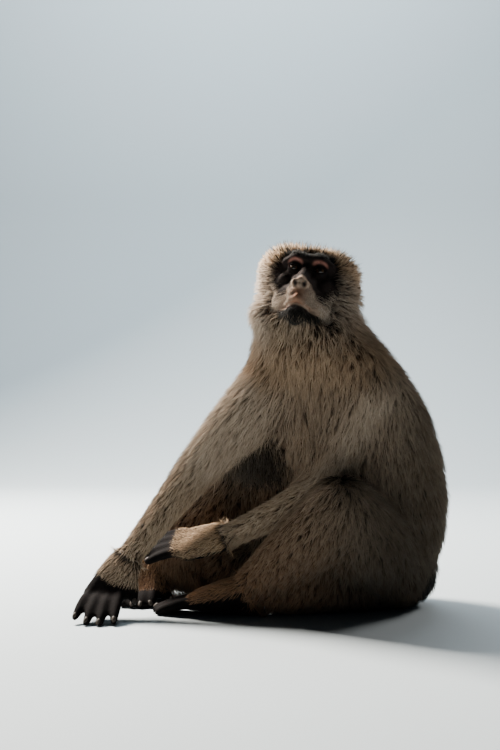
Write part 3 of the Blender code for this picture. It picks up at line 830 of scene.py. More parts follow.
pelvisLow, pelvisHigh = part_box("pelvis")
rumpPatch = np.array((pelvisHigh.x - 0.02, (pelvisLow.y + pelvisHigh.y) / 2 + 0.03, 0.045))
outlineMarksAndShade = marksAndShadeAt(outlineCoords, outlineShares)


# Tufts: three-sided locks that taper to a point

tuftSettings = {
    "flatness": 0.8,       # height of a lock's section against its half width
    "lowest": 0.0007,      # metres above the floor
    "patch": 0.003,        # room on the bake map
}


def writeColour(mesh, name, values):
    layer = mesh.attributes.new(name, "FLOAT_COLOR", "POINT")
    layer.data.foreach_set("color", values.astype(np.float32).ravel())


def makeTufts(name, centres, normals, widths, uvs, lay, marksAndShade):
    # centres and normals are tuft by station; lay and the markings, with their painted shade, are one colour
    # a tuft
    count, stations = centres.shape[:2]
    rings = stations - 1
    tangents = unit(np.gradient(centres, axis=1))
    across = unit(np.cross(tangents, normals))
    upward = unit(np.cross(across, tangents))
    wide = widths[:, :rings, None]
    body = centres[:, :rings]
    corners = np.stack((body - across[:, :rings] * wide, body + across[:, :rings] * wide,
                        body + upward[:, :rings] * wide * tuftSettings["flatness"]), 2)
    points = np.concatenate((corners.reshape(count, rings * 3, 3), centres[:, rings:]), 1)
    points[..., 2] = np.maximum(points[..., 2], tuftSettings["lowest"])
    perTuft = rings * 3 + 1
    tip = rings * 3
    template = [(1, 0, 2)]
    for ring in range(rings - 1):
        for corner in range(3):
            one, two = ring * 3 + corner, ring * 3 + (corner + 1) % 3
            template.append((one, two, two + 3, one + 3))
    for corner in range(3):
        template.append(((rings - 1) * 3 + corner, (rings - 1) * 3 + (corner + 1) % 3, tip))
    sizes = np.array([len(face) for face in template])
    flatTemplate = np.array([corner for face in template for corner in face])
    mesh = bpy.data.meshes.new(name)
    mesh.vertices.add(count * perTuft)
    mesh.vertices.foreach_set("co", points.astype(np.float32).ravel())
    loops = (flatTemplate[None] + (np.arange(count) * perTuft)[:, None]).ravel()
    mesh.loops.add(len(loops))
    mesh.loops.foreach_set("vertex_index", loops.astype(np.int32))
    starts = np.concatenate(((0,), np.cumsum(sizes)[:-1]))
    mesh.polygons.add(count * len(template))
    firstLoops = starts[None] + (np.arange(count) * sizes.sum())[:, None]
    mesh.polygons.foreach_set("loop_start", firstLoops.ravel().astype(np.int32))
    mesh.update(calc_edges=True)
    mesh.shade_smooth()
    # Each lock keeps a small patch of the bake map where its root stands
    stationOf = np.append(np.repeat(np.arange(rings), 3), rings) / rings
    cornerOf = np.append(np.tile((0.0, 1.0, 0.5), rings), 0.5)
    spot = np.stack((cornerOf - 0.5, stationOf - 0.5), 1) * tuftSettings["patch"]
    layer = mesh.uv_layers.new(name="OFBake")
    layer.data.foreach_set("uv", (uvs[:, None] + spot[flatTemplate][None]).astype(np.float32).ravel())
    colour = np.empty((count, perTuft, 4), np.float32)
    colour[:, :, 0] = stationOf[None]
    colour[:, :, 1:] = lay[:, None]
    writeColour(mesh, "lay", colour)
    colour[:] = marksAndShade[:, None]
    writeColour(mesh, "marksAndShade", colour)
    triangles = count * int((sizes - 2).sum())
    print(name, count, "tufts", triangles, "triangles")
    return link(name, mesh)


def sampleFaces(faces, weights, count, dice):
    # Roots spread evenly over the faces by weight
    total = np.cumsum(weights)
    places = (np.arange(count) + dice.random(count)) / count * total[-1]
    chosen = np.minimum(np.searchsorted(total, places), len(faces) - 1)
    u, v = dice.random(count), dice.random(count)
    mix = np.stack(((1 - u) * (1 - v), u * (1 - v), u * v, (1 - u) * v), 1)
    return chosen, mix


def unwrapped(name, coords, faces):
    # An unwrap of this stretch of the skin's own shape
    used, again = np.unique(faces, return_inverse=True)
    mesh = bpy.data.meshes.new(name)
    mesh.from_pydata(coords[used].tolist(), [], again.reshape(faces.shape).tolist())
    holder = link(name, mesh)
    mesh.uv_layers.new(name="UVMap")
    bpy.ops.object.select_all(action="DESELECT")
    bpy.context.view_layer.objects.active = holder
    holder.select_set(True)
    bpy.ops.object.mode_set(mode="EDIT")
    bpy.ops.mesh.select_all(action="SELECT")
    bpy.ops.uv.smart_project(angle_limit=math.radians(75.0), island_margin=0.004)
    bpy.ops.object.mode_set(mode="OBJECT")
    uvs = np.empty(len(mesh.loops) * 2, np.float32)
    mesh.uv_layers["UVMap"].data.foreach_get("uv", uvs)
    bpy.data.objects.remove(holder)
    bpy.data.meshes.remove(mesh)
    return uvs.reshape(len(faces), -1, 2).astype(float)


outlineFaces = np.array([tuple(face.vertices) for face in outline.data.polygons])
corners = outlineCoords[outlineFaces]
faceAreas = np.linalg.norm(np.cross(corners[:, 2] - corners[:, 0], corners[:, 3] - corners[:, 1]), axis=1) / 2
owners = outlineShares[outlineFaces].mean(1).argmax(1)


def hairShare(coords, shares):
    # 1 where the coat grows thick, 0 on bare skin: the face, the rump pads, what lies on the floor
    forward, up, left = inHead(coords)
    onHead = shares[:, partNames.index("head")]
    radius = np.hypot(left / 39.0, (up - 3.0) / 34.0)
    face = ramp(forward, 12.0, 24.0) * ramp(-radius, -1.06, -0.94) * (up > 0)
    lower = ramp(forward, 14.0, 26.0) * ramp(-np.abs(left), -44.0, -38.0) * (up <= 0) * ramp(up, -62.0, -56.0)
    muzzle = ramp(forward, 30.0, 38.0) * ramp(up, -66.0, -60.0)
    bare = np.clip(face + lower + muzzle, 0.0, 1.0) * (onHead > 0.3)
    under = ramp(-coords[:, 2], -0.006, -0.002)
    paw = sum(shares[:, index] for index, region in enumerate(partRegions) if region in ("hand", "foot"))
    return (1.0 - bare) * (1.0 - under * 0.9) * (1.0 - ramp(paw, 0.45, 0.75))


outlineHair = hairShare(outlineCoords, outlineShares)
# Creases at the wrists would make hair stand out across them
agreement = (normalsOfMesh(outline.data) * outlineNormals).sum(1)
nearPaw = outlineShares @ np.array([1.0 if region in ("forearm", "hand") else 0.0 for region in partRegions])
outlineHair = outlineHair * (1.0 - nearPaw * ramp(-agreement, -0.84, -0.60))

coatPieces = {
    # piece: parts it covers, tufts, half width, gap between clumps
    "coatHead": (("head",), 17500, 0.00046, 0.0042),
    "coatNeck": (("neck",), 10500, 0.00068, 0.0058),
    "coatChest": (("chest",), 18500, 0.00074, 0.0060),
    "coatBelly": (("abdomen",), 12500, 0.00078, 0.0062),
    "coatRump": (("pelvis",), 9500, 0.00078, 0.0062),
    "coatLegLeft": (("thigh_l", "shank_l"), 19000, 0.00070, 0.0060),
    "coatLegRight": (("thigh_r", "shank_r"), 16500, 0.00074, 0.0060),
    "coatArmLeft": (("upper_arm_l", "forearm_l"), 9000, 0.00060, 0.0052),
    "coatArmRight": (("upper_arm_r", "forearm_r"), 16000, 0.00060, 0.0052),
}
growth = {
    "gather": 0.30,        # how far the tips of a clump draw together
    "stations": (0.0, 0.42, 1.0),
    "profile": (0.85, 0.9, 0.0),
    "wander": 0.19,        # how much clumps stray from the lie of the coat
    "wild": 0.0016,        # how far single hairs stand clear of the outline
    "rise": 0.62,          # below 1, hairs rise steeply at the root and then lie flat
    "sway": 0.0011,
    "shortest": 0.62,
    "darkHairs": 0.06,     # share of single dark hairs
    "seed": 5,
}
pathSteps = 4              # places a clump's path is traced through, after its root


def traced(start, steps, dice):
    # A path over the outline along the lie of the hair, station by station
    places, faces, depths = [], [], []
    place = start.copy()
    stray = dice.normal(0.0, growth["wander"], len(start))
    for index in range(steps.shape[1] + 1):
        for row in range(len(place)):
            place[row] = outlineTree.find_nearest(place[row])[0]
        nearest = np.array([outlinePoints.find(point)[1] for point in place])
        normal = outlineNormals[nearest]
        places.append(place.copy())
        faces.append(normal)
        depths.append(outlineDepth[nearest])
        if index < steps.shape[1]:
            flow = outlineFlow[nearest]
            flow = unit(flow + np.cross(normal, flow) * stray[:, None])
            place = place + flow * steps[:, index:index + 1]
    return np.stack(places, 1), np.stack(faces, 1), np.stack(depths, 1)


def growCoat(name, parts, count, halfWidth, clumpGap, dice):
    mine = np.isin(owners, [partNames.index(part) for part in parts])
    faces = outlineFaces[mine]
    hair = outlineHair[faces].mean(1)
    uvs = unwrapped(name + "Map", outlineCoords, faces)
    area = (faceAreas[mine] * hair).sum()
    chosen, mix = sampleFaces(faces, faceAreas[mine] * hair, count, dice)
    picked = faces[chosen]

    def blendOf(values):
        return (values[picked] * (mix if values.ndim == 1 else mix[..., None])).sum(1)

    roots = blendOf(outlineCoords)
    lengths = blendOf(outlineLength)
    marksAndShade = blendOf(outlineMarksAndShade)
    # Single dark hairs, most of them on the crown
    crown = blendOf(crownHair)
    darker = dice.random(count) < growth["darkHairs"] + 0.18 * crown
    marksAndShade[:, 3] = np.maximum(marksAndShade[:, 3], darker * (0.5 + 0.4 * crown))
    rootUv = (uvs[chosen] * mix[..., None]).sum(1)
    # Clump centres are every so many roots, and the rest gather round the nearest
    every = max(2, round(count * clumpGap ** 2 / area))
    heads = dice.permutation(count)[:count // every]
    clumpLength = lengths[heads] * (0.85 + 0.25 * dice.random(len(heads)))
    steps = np.full((1, pathSteps), 1.0 / pathSteps) * clumpLength[:, None]
    path, pathNormals, pathDepth = traced(roots[heads], steps, dice)
    tree = KDTree(len(heads))
    for index, head in enumerate(heads):
        tree.insert(roots[head], index)
    tree.balance()
    clump = np.array([tree.find(root)[1] for root in roots])
    scale = growth["shortest"] + (1.0 - growth["shortest"]) * dice.random(count)
    # Stations slide back along the clump's path for the shorter tufts
    share = np.array(growth["stations"])
    stations = len(share)
    slid = share[None] * scale[:, None] * pathSteps
    low = np.minimum(slid.astype(int), pathSteps - 1)
    part = (slid - low)[..., None]
    rows = clump[:, None]
    centre = path[rows, low] * (1 - part) + path[rows, low + 1] * part
    normals = unit(pathNormals[rows, low] * (1 - part) + pathNormals[rows, low + 1] * part)
    depth = (pathDepth[rows, low] * (1 - part[..., 0]) + pathDepth[rows, low + 1] * part[..., 0])
    offset = roots - roots[heads][clump]
    gather = growth["gather"] * (0.75 + 0.35 * dice.random(count))
    centre = centre + offset[:, None] * (1.0 - gather[:, None, None] * share[None, :, None])
    # Height: from the skin up to the outline, under layers stopping short of it
    layer = np.where(dice.random(count) < 0.38, dice.random(count) * 0.55 + 0.12, dice.random(count) * 0.10)
    clumpHigh = dice.random(len(heads))[clump] * 0.10
    rise = share[None] ** growth["rise"] * (1.0 - layer - clumpHigh)[:, None]
    centre = centre - normals * (depth * (1.0 - rise))[..., None]
    stand = blendOf(outlineStand) * (0.4 + 0.8 * dice.random(count)) * (1.0 + 1.1 * darker)
    stand += np.abs(dice.normal(0.0, growth["wild"], count)) * (layer < 0.1)
    centre = centre + normals * (stand[:, None] * share[None] ** 1.5)[..., None]
    sideways = unit(np.cross(normals, np.gradient(centre, axis=1)))
    sway = dice.normal(0.0, growth["sway"], (count, stations)) * share[None]
    centre = centre + sideways * sway[..., None]
    wide = halfWidth * (0.75 + 0.5 * dice.random(count))
    profile = np.array(growth["profile"])
    twist = dice.normal(0.0, 0.45, count)[:, None, None]
    turned = unit(normals * np.cos(twist) + sideways * np.sin(twist))
    tone = dice.random(count)
    clumpTone = dice.random(len(heads))[clump]
    lay = np.stack((tone, clumpTone, layer), 1)
    return makeTufts(name, centre, turned, wide[:, None] * profile[None], rootUv, lay, marksAndShade)


coat = []
for index, (name, (parts, count, halfWidth, clumpGap)) in enumerate(coatPieces.items()):
    dice = np.random.default_rng(growth["seed"] + index)
    coat.append(growCoat(name, parts, count, halfWidth, clumpGap, dice))


# Hair that stands straight on the skin: hands, feet, the arm fold, the calf and the face

skinCoords = coordsOfMesh(skin.data)
skinNormals = normalsOfMesh(skin.data)
skinNearest = np.array([outlinePoints.find(point)[1] for point in skinCoords])
skinShares = outlineShares[skinNearest]
skinMarksAndShade = outlineMarksAndShade[skinNearest]
skin.data.calc_loop_triangles()
skinFaces = np.empty(len(skin.data.loop_triangles) * 3, np.int32)
skin.data.loop_triangles.foreach_get("vertices", skinFaces)
skinFaces = skinFaces.reshape(-1, 3)
print("skin", len(skinFaces), "triangles")


def growShort(name, weight, count, lengthAt, flowAtRoots, lift, halfWidth, marksAndShadeAtRoots, dice):
    # weight, length, flow, lift and the markings, with their painted shade, are given at every vertex of the
    # skin
    faces = skinFaces[weight[skinFaces].mean(1) > 0.02]
    corners = skinCoords[faces]
    area = np.linalg.norm(np.cross(corners[:, 1] - corners[:, 0], corners[:, 2] - corners[:, 0]), axis=1)
    uvs = unwrapped(name + "Map", skinCoords, faces)
    total = np.cumsum(area * weight[faces].mean(1))
    places = (np.arange(count) + dice.random(count)) / count * total[-1]
    chosen = np.minimum(np.searchsorted(total, places), len(faces) - 1)
    mix = np.sort(dice.random((count, 2)), axis=1)
    mix = np.stack((mix[:, 0], mix[:, 1] - mix[:, 0], 1 - mix[:, 1]), 1)
    picked = faces[chosen]

    def blendOf(values):
        return (values[picked] * (mix if values.ndim == 1 else mix[..., None])).sum(1)

    roots = blendOf(skinCoords)
    normals = unit(blendOf(skinNormals))
    flow = blendOf(flowAtRoots)
    flow = flow - normals * (flow * normals).sum(1, keepdims=True)
    flow = unit(unit(flow) + dice.normal(0.0, 0.22, flow.shape))
    flow = unit(flow - normals * (flow * normals).sum(1, keepdims=True))
    length = blendOf(lengthAt) * (0.6 + 0.5 * dice.random(count))
    raised = blendOf(lift) * (0.7 + 0.6 * dice.random(count))
    share = np.array(growth["stations"])
    # Hairs leave the skin and bend over, along the surface
    height = raised[:, None] * (share - 0.35 * share ** 2)[None] - 0.05 * (share == 0)[None]
    centre = roots[:, None] + length[:, None, None] * (
        flow[:, None] * share[None, :, None] + normals[:, None] * height[..., None])
    twist = dice.normal(0.0, 0.5, count)[:, None, None]
    stretched = np.repeat(normals[:, None], len(share), 1)
    sideways = np.cross(stretched, flow[:, None])
    turned = unit(stretched * np.cos(twist) + sideways * np.sin(twist))
    wide = halfWidth * (0.75 + 0.5 * dice.random(count))
    lay = np.stack((dice.random(count), dice.random(count), np.zeros(count)), 1)
    profile = np.array(growth["profile"])
    rootUv = (uvs[chosen] * mix[..., None]).sum(1)
    return makeTufts(name, centre, turned, wide[:, None] * profile[None], rootUv, lay, blendOf(marksAndShadeAtRoots))


def partShare(*regions):
    return skinShares @ np.array([1.0 if region in regions else 0.0 for region in partRegions])


pawHair = {"tufts": 12000, "halfWidth": 0.00036, "length": 0.0175, "lift": 0.24, "seed": 31}
fromJoint = np.full(len(skinCoords), 1.0)
onFoot = partShare("foot") > partShare("hand")
leftHand = skinShares[:, partNames.index("hand_l")] > 0.4
# Where fingers and toes begin, as a share of the paw
digitStart = np.where(onFoot, 0.70, np.where(leftHand, 0.90, 0.50))
for side in sides:
    for joint, part, reach in ((wrists[side], "hand_", 0.100), (ankles[side], "foot_", 0.125)):
        mine = skinShares[:, partNames.index(part + side)] > 0.35
        far = np.linalg.norm(skinCoords - np.array(joint), axis=1) / reach
        fromJoint = np.where(mine, np.minimum(fromJoint, far), fromJoint)
onPaw = partShare("hand", "foot") + partShare("forearm", "shank") * (partShare("hand", "foot") > 0.15)
dorsal = np.where(leftHand, ramp(skinNormals[:, 2], -0.75, -0.20), ramp(skinNormals[:, 2], -0.25, 0.35))
pawWeight = onPaw * dorsal * ramp(digitStart - fromJoint, -0.03, 0.05) * (onPaw > 0.3)
pawWeight *= np.where(onFoot, 1.0, ramp(fromJoint, 0.14, 0.24))
pawFlow = outlineFlow[skinNearest]
towardsTips = 1.0 - 0.45 * ramp(fromJoint, 0.15, 0.55) - 0.30 * ramp(fromJoint, 0.55, 0.9)
pawLength = pawHair["length"] * towardsTips
pawMarksShadeAndLight = skinMarksAndShade.copy()
# The left hand's hair is paler and more golden: partly its own golden fur, partly painted light
pawMarksShadeAndLight[leftHand, :2] = 0.8
coat.append(growShort("coatPaws", pawWeight, pawHair["tufts"], pawLength, pawFlow,
                      np.full(len(skinCoords), pawHair["lift"]), pawHair["halfWidth"], pawMarksShadeAndLight,
                      np.random.default_rng(pawHair["seed"])))

# Long hair on the fold by the propped arm, and under the right calf down to the floor, fills the shaded gaps
# there; the fold's hair is painted near black as shade
shadeFillHair = {
    "tufts": 5200,
    "halfWidth": 0.00066,
    "length": 0.036,
    "calfLength": 0.054,
    "lift": 0.7,
    "seed": 37,
}
onCalf = skinShares[:, partNames.index("shank_r")] + skinShares[:, partNames.index("foot_r")] * 0.5
calfAway = np.linalg.norm(skinCoords - np.array(ankles["r"].lerp(hips["r"], 0.16)), axis=1)
calfWeight = (onCalf > 0.3) * ramp(-calfAway, -0.085, -0.03) * ramp(-skinNormals[:, 2], -0.25, 0.25)
calfWeight *= ramp(skinCoords[:, 2], 0.012, 0.03)
# None on the outer side, where it would reach past the model's own size
calfWeight *= ramp(skinCoords[:, 0] - cadBounds[0][0], 0.020, 0.048)
shadedFold = ramp(-np.linalg.norm(skinCoords - np.array(armFold), axis=1), -0.062, -0.040)
# Painted shade: skin and hair in the fold by the arm go near black
skinMarksAndShade[:, 3] = np.maximum(skinMarksAndShade[:, 3], shadedFold * 0.9)
calfLength = np.minimum(shadeFillHair["calfLength"], skinCoords[:, 2] * 1.2)
foldLength = np.where(shadedFold > 0.02, shadeFillHair["length"], calfLength)
coat.append(growShort("coatShadeFill", np.maximum(calfWeight * 1.5, shadedFold * 0.7), shadeFillHair["tufts"],
                      foldLength, np.tile(down, (len(skinCoords), 1)),
                      np.full(len(skinCoords), shadeFillHair["lift"]), shadeFillHair["halfWidth"], skinMarksAndShade,
                      np.random.default_rng(shadeFillHair["seed"])))

forward, up, left = inHead(skinCoords)
wide = np.abs(left) / snoutWidth(forward, up)
onFace = (partShare("head") > 0.4) & (forward > 6)
faceSettings = {"tufts": 7000, "halfWidth": 0.00028, "length": 0.0055, "seed": 41}
eyeGap = np.hypot((wide - 19.5) / 13.0, (up - 12.0) / 8.5)
openFace = ramp(eyeGap, 1.0, 1.5)
flankEdge = -up - 14.0 - (80.0 - forward) * 0.72
flank = ramp(flankEdge, -3.0, 4.0) * ramp(-up, 14.0, 18.0) * ramp(-wide, -50.0, -42.0)
flank *= ramp(forward, 18.0, 26.0)
cheekFront = ramp(wide, 30.0, 44.0) * ramp(-up, 6.0, 26.0)
muzzleSide = flank * ramp(wide, 8.0, 18.0) * 0.8
browHair = np.exp(-((up - 35.0) / 4.5) ** 2) * ramp(forward, 20.0, 34.0)
chin = ramp(-up, 57.5, 60.5) * ramp(forward, 24.0, 40.0)
lipLine = gapToLine(np.stack((forward, up, wide), 1), mouthLine)
faceWeight = np.clip(cheekFront + muzzleSide + browHair * 2.2 + chin * 1.4 + 0.06, 0.0, 1.3)
faceWeight *= onFace * openFace * ramp(lipLine, 4.0, 8.0) * ramp(-forward, -82.0, -74.0)
faceLength = faceSettings["length"] * (0.75 + 0.6 * cheekFront + 0.9 * chin + 0.8 * browHair)
faceLift = 0.25 + 0.9 * browHair + 0.5 * chin
faceMarksAndShade = np.zeros_like(skinMarksAndShade)
faceMarksAndShade[:, 0] = np.clip(muzzleSide + cheekFront, 0.0, 1.0) * (1.0 - chin)
# Face hair away from the muzzle and cheeks is dark, partly painted shade under the brow
faceMarksAndShade[:, 3] = np.clip(1.0 - muzzleSide - cheekFront + chin, 0.0, 1.0)
faceFlow = partFlow("head", skinCoords)
coat.append(growShort("coatFace", faceWeight, faceSettings["tufts"], faceLength, faceFlow, faceLift,
                      faceSettings["halfWidth"], faceMarksAndShade, np.random.default_rng(faceSettings["seed"])))


# Whiskers: single long hairs on the upper lip and the chin

whiskerSettings = {"rows": 4, "perRow": 5, "length": 0.034, "halfWidth": 0.00022, "stations": 5,
                   "seed": 53}


def makeWhiskers():
    settings = whiskerSettings
    dice = np.random.default_rng(settings["seed"])
    tree = BVHTree.FromObject(skin, bpy.context.evaluated_depsgraph_get())
    share = np.linspace(0.0, 1.0, settings["stations"])
    centres, across = [], []
    for side in (1, -1):
        for row in range(settings["rows"]):
            for index in range(settings["perRow"]):
                spot = headPoint(70 - index * 6.5, -36 - row * 5, (15 + index * 5) * side)
                root, normal = tree.find_nearest(headPlace @ spot)[:2]
                stray = Vector(dice.normal(0.0, 0.16, 3))
                out = (normal * 0.7 + headLeft * side * 0.6 - headUp * 0.25 + stray).normalized()
                length = settings["length"] * (0.45 + 0.55 * dice.random())
                line = np.array(root) - np.array(normal) * 0.0006 + np.outer(share * length, np.array(out))
                centres.append(line + np.outer(share ** 2 * length * 0.28, down))
                across.append(np.tile(np.array(normal), (settings["stations"], 1)))
    count = len(centres)
    widths = np.full((count, 1), settings["halfWidth"]) * np.array((1.0, 0.9, 0.7, 0.5, 0.0))[None]
    lay = np.tile((0.5, 0.0, 0.0), (count, 1))
    spots = np.stack((np.arange(count) % 8, np.arange(count) // 8), 1) / 10.0 + 0.1
    marksAndShade = np.tile((1.0, 0.0, 0.0, 0.0), (count, 1))
    return makeTufts("whiskers", np.array(centres), np.array(across), widths, spots, lay, marksAndShade)


coat.append(makeWhiskers())


# Nails on every finger and toe

nailSettings = {
    "apart": 0.0125,
    "around": 0.011,       # radius of the finger tip looked at
    "length": 0.0048,
    "width": 0.0034,
    "thick": 0.0013,
    "back": 0.0042,
    "dark": (0.018, 0.014, 0.012),
    "light": (0.060, 0.048, 0.040),
    "roughness": 0.55,
    "specular": 0.12,
}


def digitTips(part, joint):
    # The five points furthest from the joint, each well away from the others
    mine = np.where(skinShares[:, partNames.index(part)] > 0.6)[0]
    coords = skinCoords[mine]
    away = np.linalg.norm(coords - np.array(joint), axis=1)
    high = coords[:, 2] < coords[:, 2].max()
    tips = []
    for index in np.argsort(-away * high):
        if all(np.linalg.norm(coords[index] - tip) > nailSettings["apart"] for tip in tips):
            near = np.linalg.norm(coords - coords[index], axis=1)
            # A tip stands out from all that lies round it
            if away[index] >= away[near < nailSettings["around"]].max() - 1e-6:
                tips.append(coords[index])
        if len(tips) == 5:
            break
    return tips, coords


def makeNails(name, part, joint, colourMaterial):
    tips, coords = digitTips(part, joint)
    tree = BVHTree.FromObject(skin, bpy.context.evaluated_depsgraph_get())
    bm = bmesh.new()
    for tip in tips:
        near = coords[np.linalg.norm(coords - tip, axis=1) < nailSettings["around"]]
        ahead = Vector(tip - near.mean(0)).normalized()
        raised = (Vector((0.0, 0.0, 1.0)) - ahead * ahead.z).normalized()
        aim = Vector(tip) - ahead * nailSettings["back"] + raised * 0.02
        place, normal = tree.ray_cast(aim, -raised, 0.04)[:2]
        if place is None:
            continue
        ahead = (ahead - normal * ahead.dot(normal)).normalized()
        turn = Matrix((normal.cross(ahead), ahead, normal)).transposed().to_4x4()
        size = Matrix.Diagonal((nailSettings["width"], nailSettings["length"], nailSettings["thick"], 1.0))
        made = bmesh.ops.create_uvsphere(bm, u_segments=14, v_segments=10, radius=1.0)["verts"]
        for vertex in made:
            # Arched across and drawn to a blunt point in front
            vertex.co.x *= 1.0 - 0.28 * max(vertex.co.y, 0.0) ** 2
            vertex.co.z += 0.35 - 1.1 * vertex.co.x ** 2
        bmesh.ops.transform(bm, matrix=Matrix.Translation(place) @ turn @ size, verts=made)
    nails = fromBmesh(name, bm)
    nails.data.shade_smooth()
    nails.data.materials.append(colourMaterial)
    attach(nails, "root")
    print(name, len(tips), "nails")


# Materials

def newMaterial(name):
    material = bpy.data.materials.new(name)
    material.use_nodes = True
    tree = material.node_tree
    return material, tree, tree.nodes["Principled BSDF"]


def mixColour(tree, factor, first, second, mode="MIX"):
    # Sockets or plain values for each of the three
    mix = tree.nodes.new("ShaderNodeMix")
    mix.data_type = "RGBA"
    mix.blend_type = mode
    for socket, value in ((mix.inputs[0], factor), (mix.inputs[6], first), (mix.inputs[7], second)):
        if isinstance(value, bpy.types.NodeSocket):
            tree.links.new(value, socket)
        elif isinstance(value, tuple):
            socket.default_value = (*value, 1.0)
        else:
            socket.default_value = value
    return mix.outputs[2]


def channels(tree, name):
    reader = tree.nodes.new("ShaderNodeAttribute")
    reader.attribute_name = name
    parts = tree.nodes.new("ShaderNodeSeparateColor")
    tree.links.new(reader.outputs["Color"], parts.inputs[0])
    return parts.outputs[0], parts.outputs[1], parts.outputs[2], reader.outputs["Alpha"]


def colourRamp(tree, factor, stops):
    ramped = tree.nodes.new("ShaderNodeValToRGB")
    points = ramped.color_ramp.elements
    while len(points) < len(stops):
        points.new(0.5)
    for point, (place, colour) in zip(points, stops):
        point.position = place
        point.color = (*colour, 1.0)
    tree.links.new(factor, ramped.inputs[0])
    return ramped.outputs[0]


def noiseAt(tree, scale, detail=4.0, roughness=0.6):
    place = tree.nodes.new("ShaderNodeTexCoord")
    noise = tree.nodes.new("ShaderNodeTexNoise")
    noise.inputs["Scale"].default_value = scale
    noise.inputs["Detail"].default_value = detail
    noise.inputs["Roughness"].default_value = roughness
    tree.links.new(place.outputs["Object"], noise.inputs["Vector"])
    return noise.outputs["Fac"]


def calculated(tree, operation, first, second):
    node = tree.nodes.new("ShaderNodeMath")
    node.operation = operation
    node.use_clamp = True
    for socket, value in zip(node.inputs, (first, second)):
        if isinstance(value, bpy.types.NodeSocket):
            tree.links.new(value, socket)
        else:
            socket.default_value = value
    return node.outputs[0]


coatColours = {
    # Near black at the root: dark underfur, darker still as painted shade deep in the coat
    "root": (0.022, 0.017, 0.014),
    "middle": (0.160, 0.122, 0.088),
    "band": (0.450, 0.360, 0.265),
    "tip": (0.300, 0.235, 0.175),
    "pale": (0.680, 0.580, 0.480),
    "gold": (0.640, 0.460, 0.280),
    "rust": (0.300, 0.150, 0.070),
    # Near black: single dark hairs, and the painted shade of the dark share
    "dark": (0.009, 0.009, 0.009),
    "paleRoot": (0.100, 0.080, 0.070),
    "goldMiddle": (0.360, 0.220, 0.100),
    "goldTip": (0.120, 0.080, 0.050),
    "rustTip": (0.400, 0.200, 0.090),
}
coatFinish = {
    "clumpShade": 0.48,
    "tuftShade": 0.38,
    "patchScale": 22.0,
    "patchShade": 0.85,
    "roughness": 0.70,
    "specular": 0.06,
    "sheen": 0.06,
    "sheenRoughness": 0.4,
    "sheenTint": (1.0, 0.9, 0.75),
}


def makeCoatMaterial():
    material, tree, shader = newMaterial("coatHair")
    along, tone, clump, _ = channels(tree, "lay")
    pale, gold, rust, dark = channels(tree, "marksAndShade")
    colours = coatColours
    # Each ramp starts dark at the root, partly painted shade deep in the coat
    hair = colourRamp(tree, along, [(0.0, colours["root"]), (0.35, colours["middle"]),
                                    (0.72, colours["band"]), (1.0, colours["tip"])])
    lighter = colourRamp(tree, along, [(0.0, colours["paleRoot"]), (0.4, colours["pale"]),
                                       (1.0, colours["pale"])])
    golden = colourRamp(tree, along, [(0.0, colours["root"]), (0.45, colours["goldMiddle"]),
                                      (0.8, colours["gold"]), (1.0, colours["goldTip"])])
    rusty = colourRamp(tree, along, [(0.0, colours["root"]), (0.4, colours["rust"]),
                                     (1.0, colours["rustTip"])])
    colour = mixColour(tree, pale, hair, lighter)
    colour = mixColour(tree, gold, colour, golden)
    colour = mixColour(tree, rust, colour, rusty)
    # The dark share: dark hairs and painted shade
    colour = mixColour(tree, dark, colour, colours["dark"])
    # Some tufts are darker, and so are some whole clumps and patches
    shade = calculated(tree, "MULTIPLY", clump, coatFinish["clumpShade"])
    shade = calculated(tree, "ADD", shade, calculated(tree, "MULTIPLY", tone, coatFinish["tuftShade"]))
    colour = mixColour(tree, shade, colour, mixColour(tree, 1.0, colour, (0.42, 0.38, 0.36), "MULTIPLY"))
    patches = noiseAt(tree, coatFinish["patchScale"], 4.0)
    patches = calculated(tree, "MULTIPLY", patches, coatFinish["patchShade"])
    colour = mixColour(tree, patches, colour, mixColour(tree, 1.0, colour, (0.66, 0.60, 0.55), "MULTIPLY"))
    tree.links.new(colour, shader.inputs["Base Color"])
    shader.inputs["Roughness"].default_value = coatFinish["roughness"]
    shader.inputs["Specular IOR Level"].default_value = coatFinish["specular"]
    shader.inputs["Sheen Weight"].default_value = coatFinish["sheen"]
    shader.inputs["Sheen Roughness"].default_value = coatFinish["sheenRoughness"]
    shader.inputs["Sheen Tint"].default_value = (*coatFinish["sheenTint"], 1.0)
    return material


coatHair = makeCoatMaterial()
for piece in coat:
    piece.data.materials.append(coatHair)
    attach(piece, "root")


# What each part of the bare skin is: lips, lids, muzzle and dusky hands, with painted shade round the eyes
# and in the nostrils
lips = np.exp(-(lipLine / 6.0) ** 2) * onFace * ramp(forward, 46.0, 60.0) * ramp(up, -57.0, -55.5)
philtrum = np.exp(-(wide / 15.0) ** 2) * ramp(-up, 31.0, 38.0) * ramp(up, -57.0, -55.5)
philtrum *= ramp(forward, 62.0, 74.0)
lips = np.maximum(lips, philtrum * onFace * 0.75)
lidArc = np.hypot((wide - 19.5) / 15.0, (up - 11.5) / 11.0)
lidRing = np.exp(-((lidArc - 0.98) / 0.20) ** 2) * ramp(up, 15.0, 19.0)
lidRing *= ramp(-np.abs(wide - 19.0), -14.0, -8.0) * onFace
noseTip = ramp(forward, 72.0, 79.0) * ramp(-up, 8.0, 13.0)
snout = onFace * np.maximum(flank, noseTip) * (1.0 - chin)
# The nostril holes are painted dark as shade
nostrilShade = np.exp(-np.hypot((up + 27.4) / 4.3, (wide - 7.6) / 4.4) ** 4) * ramp(forward, 76.0, 80.0) * onFace
bareHand = np.clip(onPaw * (1.0 - dorsal * (1.0 - ramp(fromJoint - digitStart, -0.10, 0.10))), 0.0, 1.0)
zones = np.stack((lips, lidRing, snout, bareHand), 1).astype(np.float32)
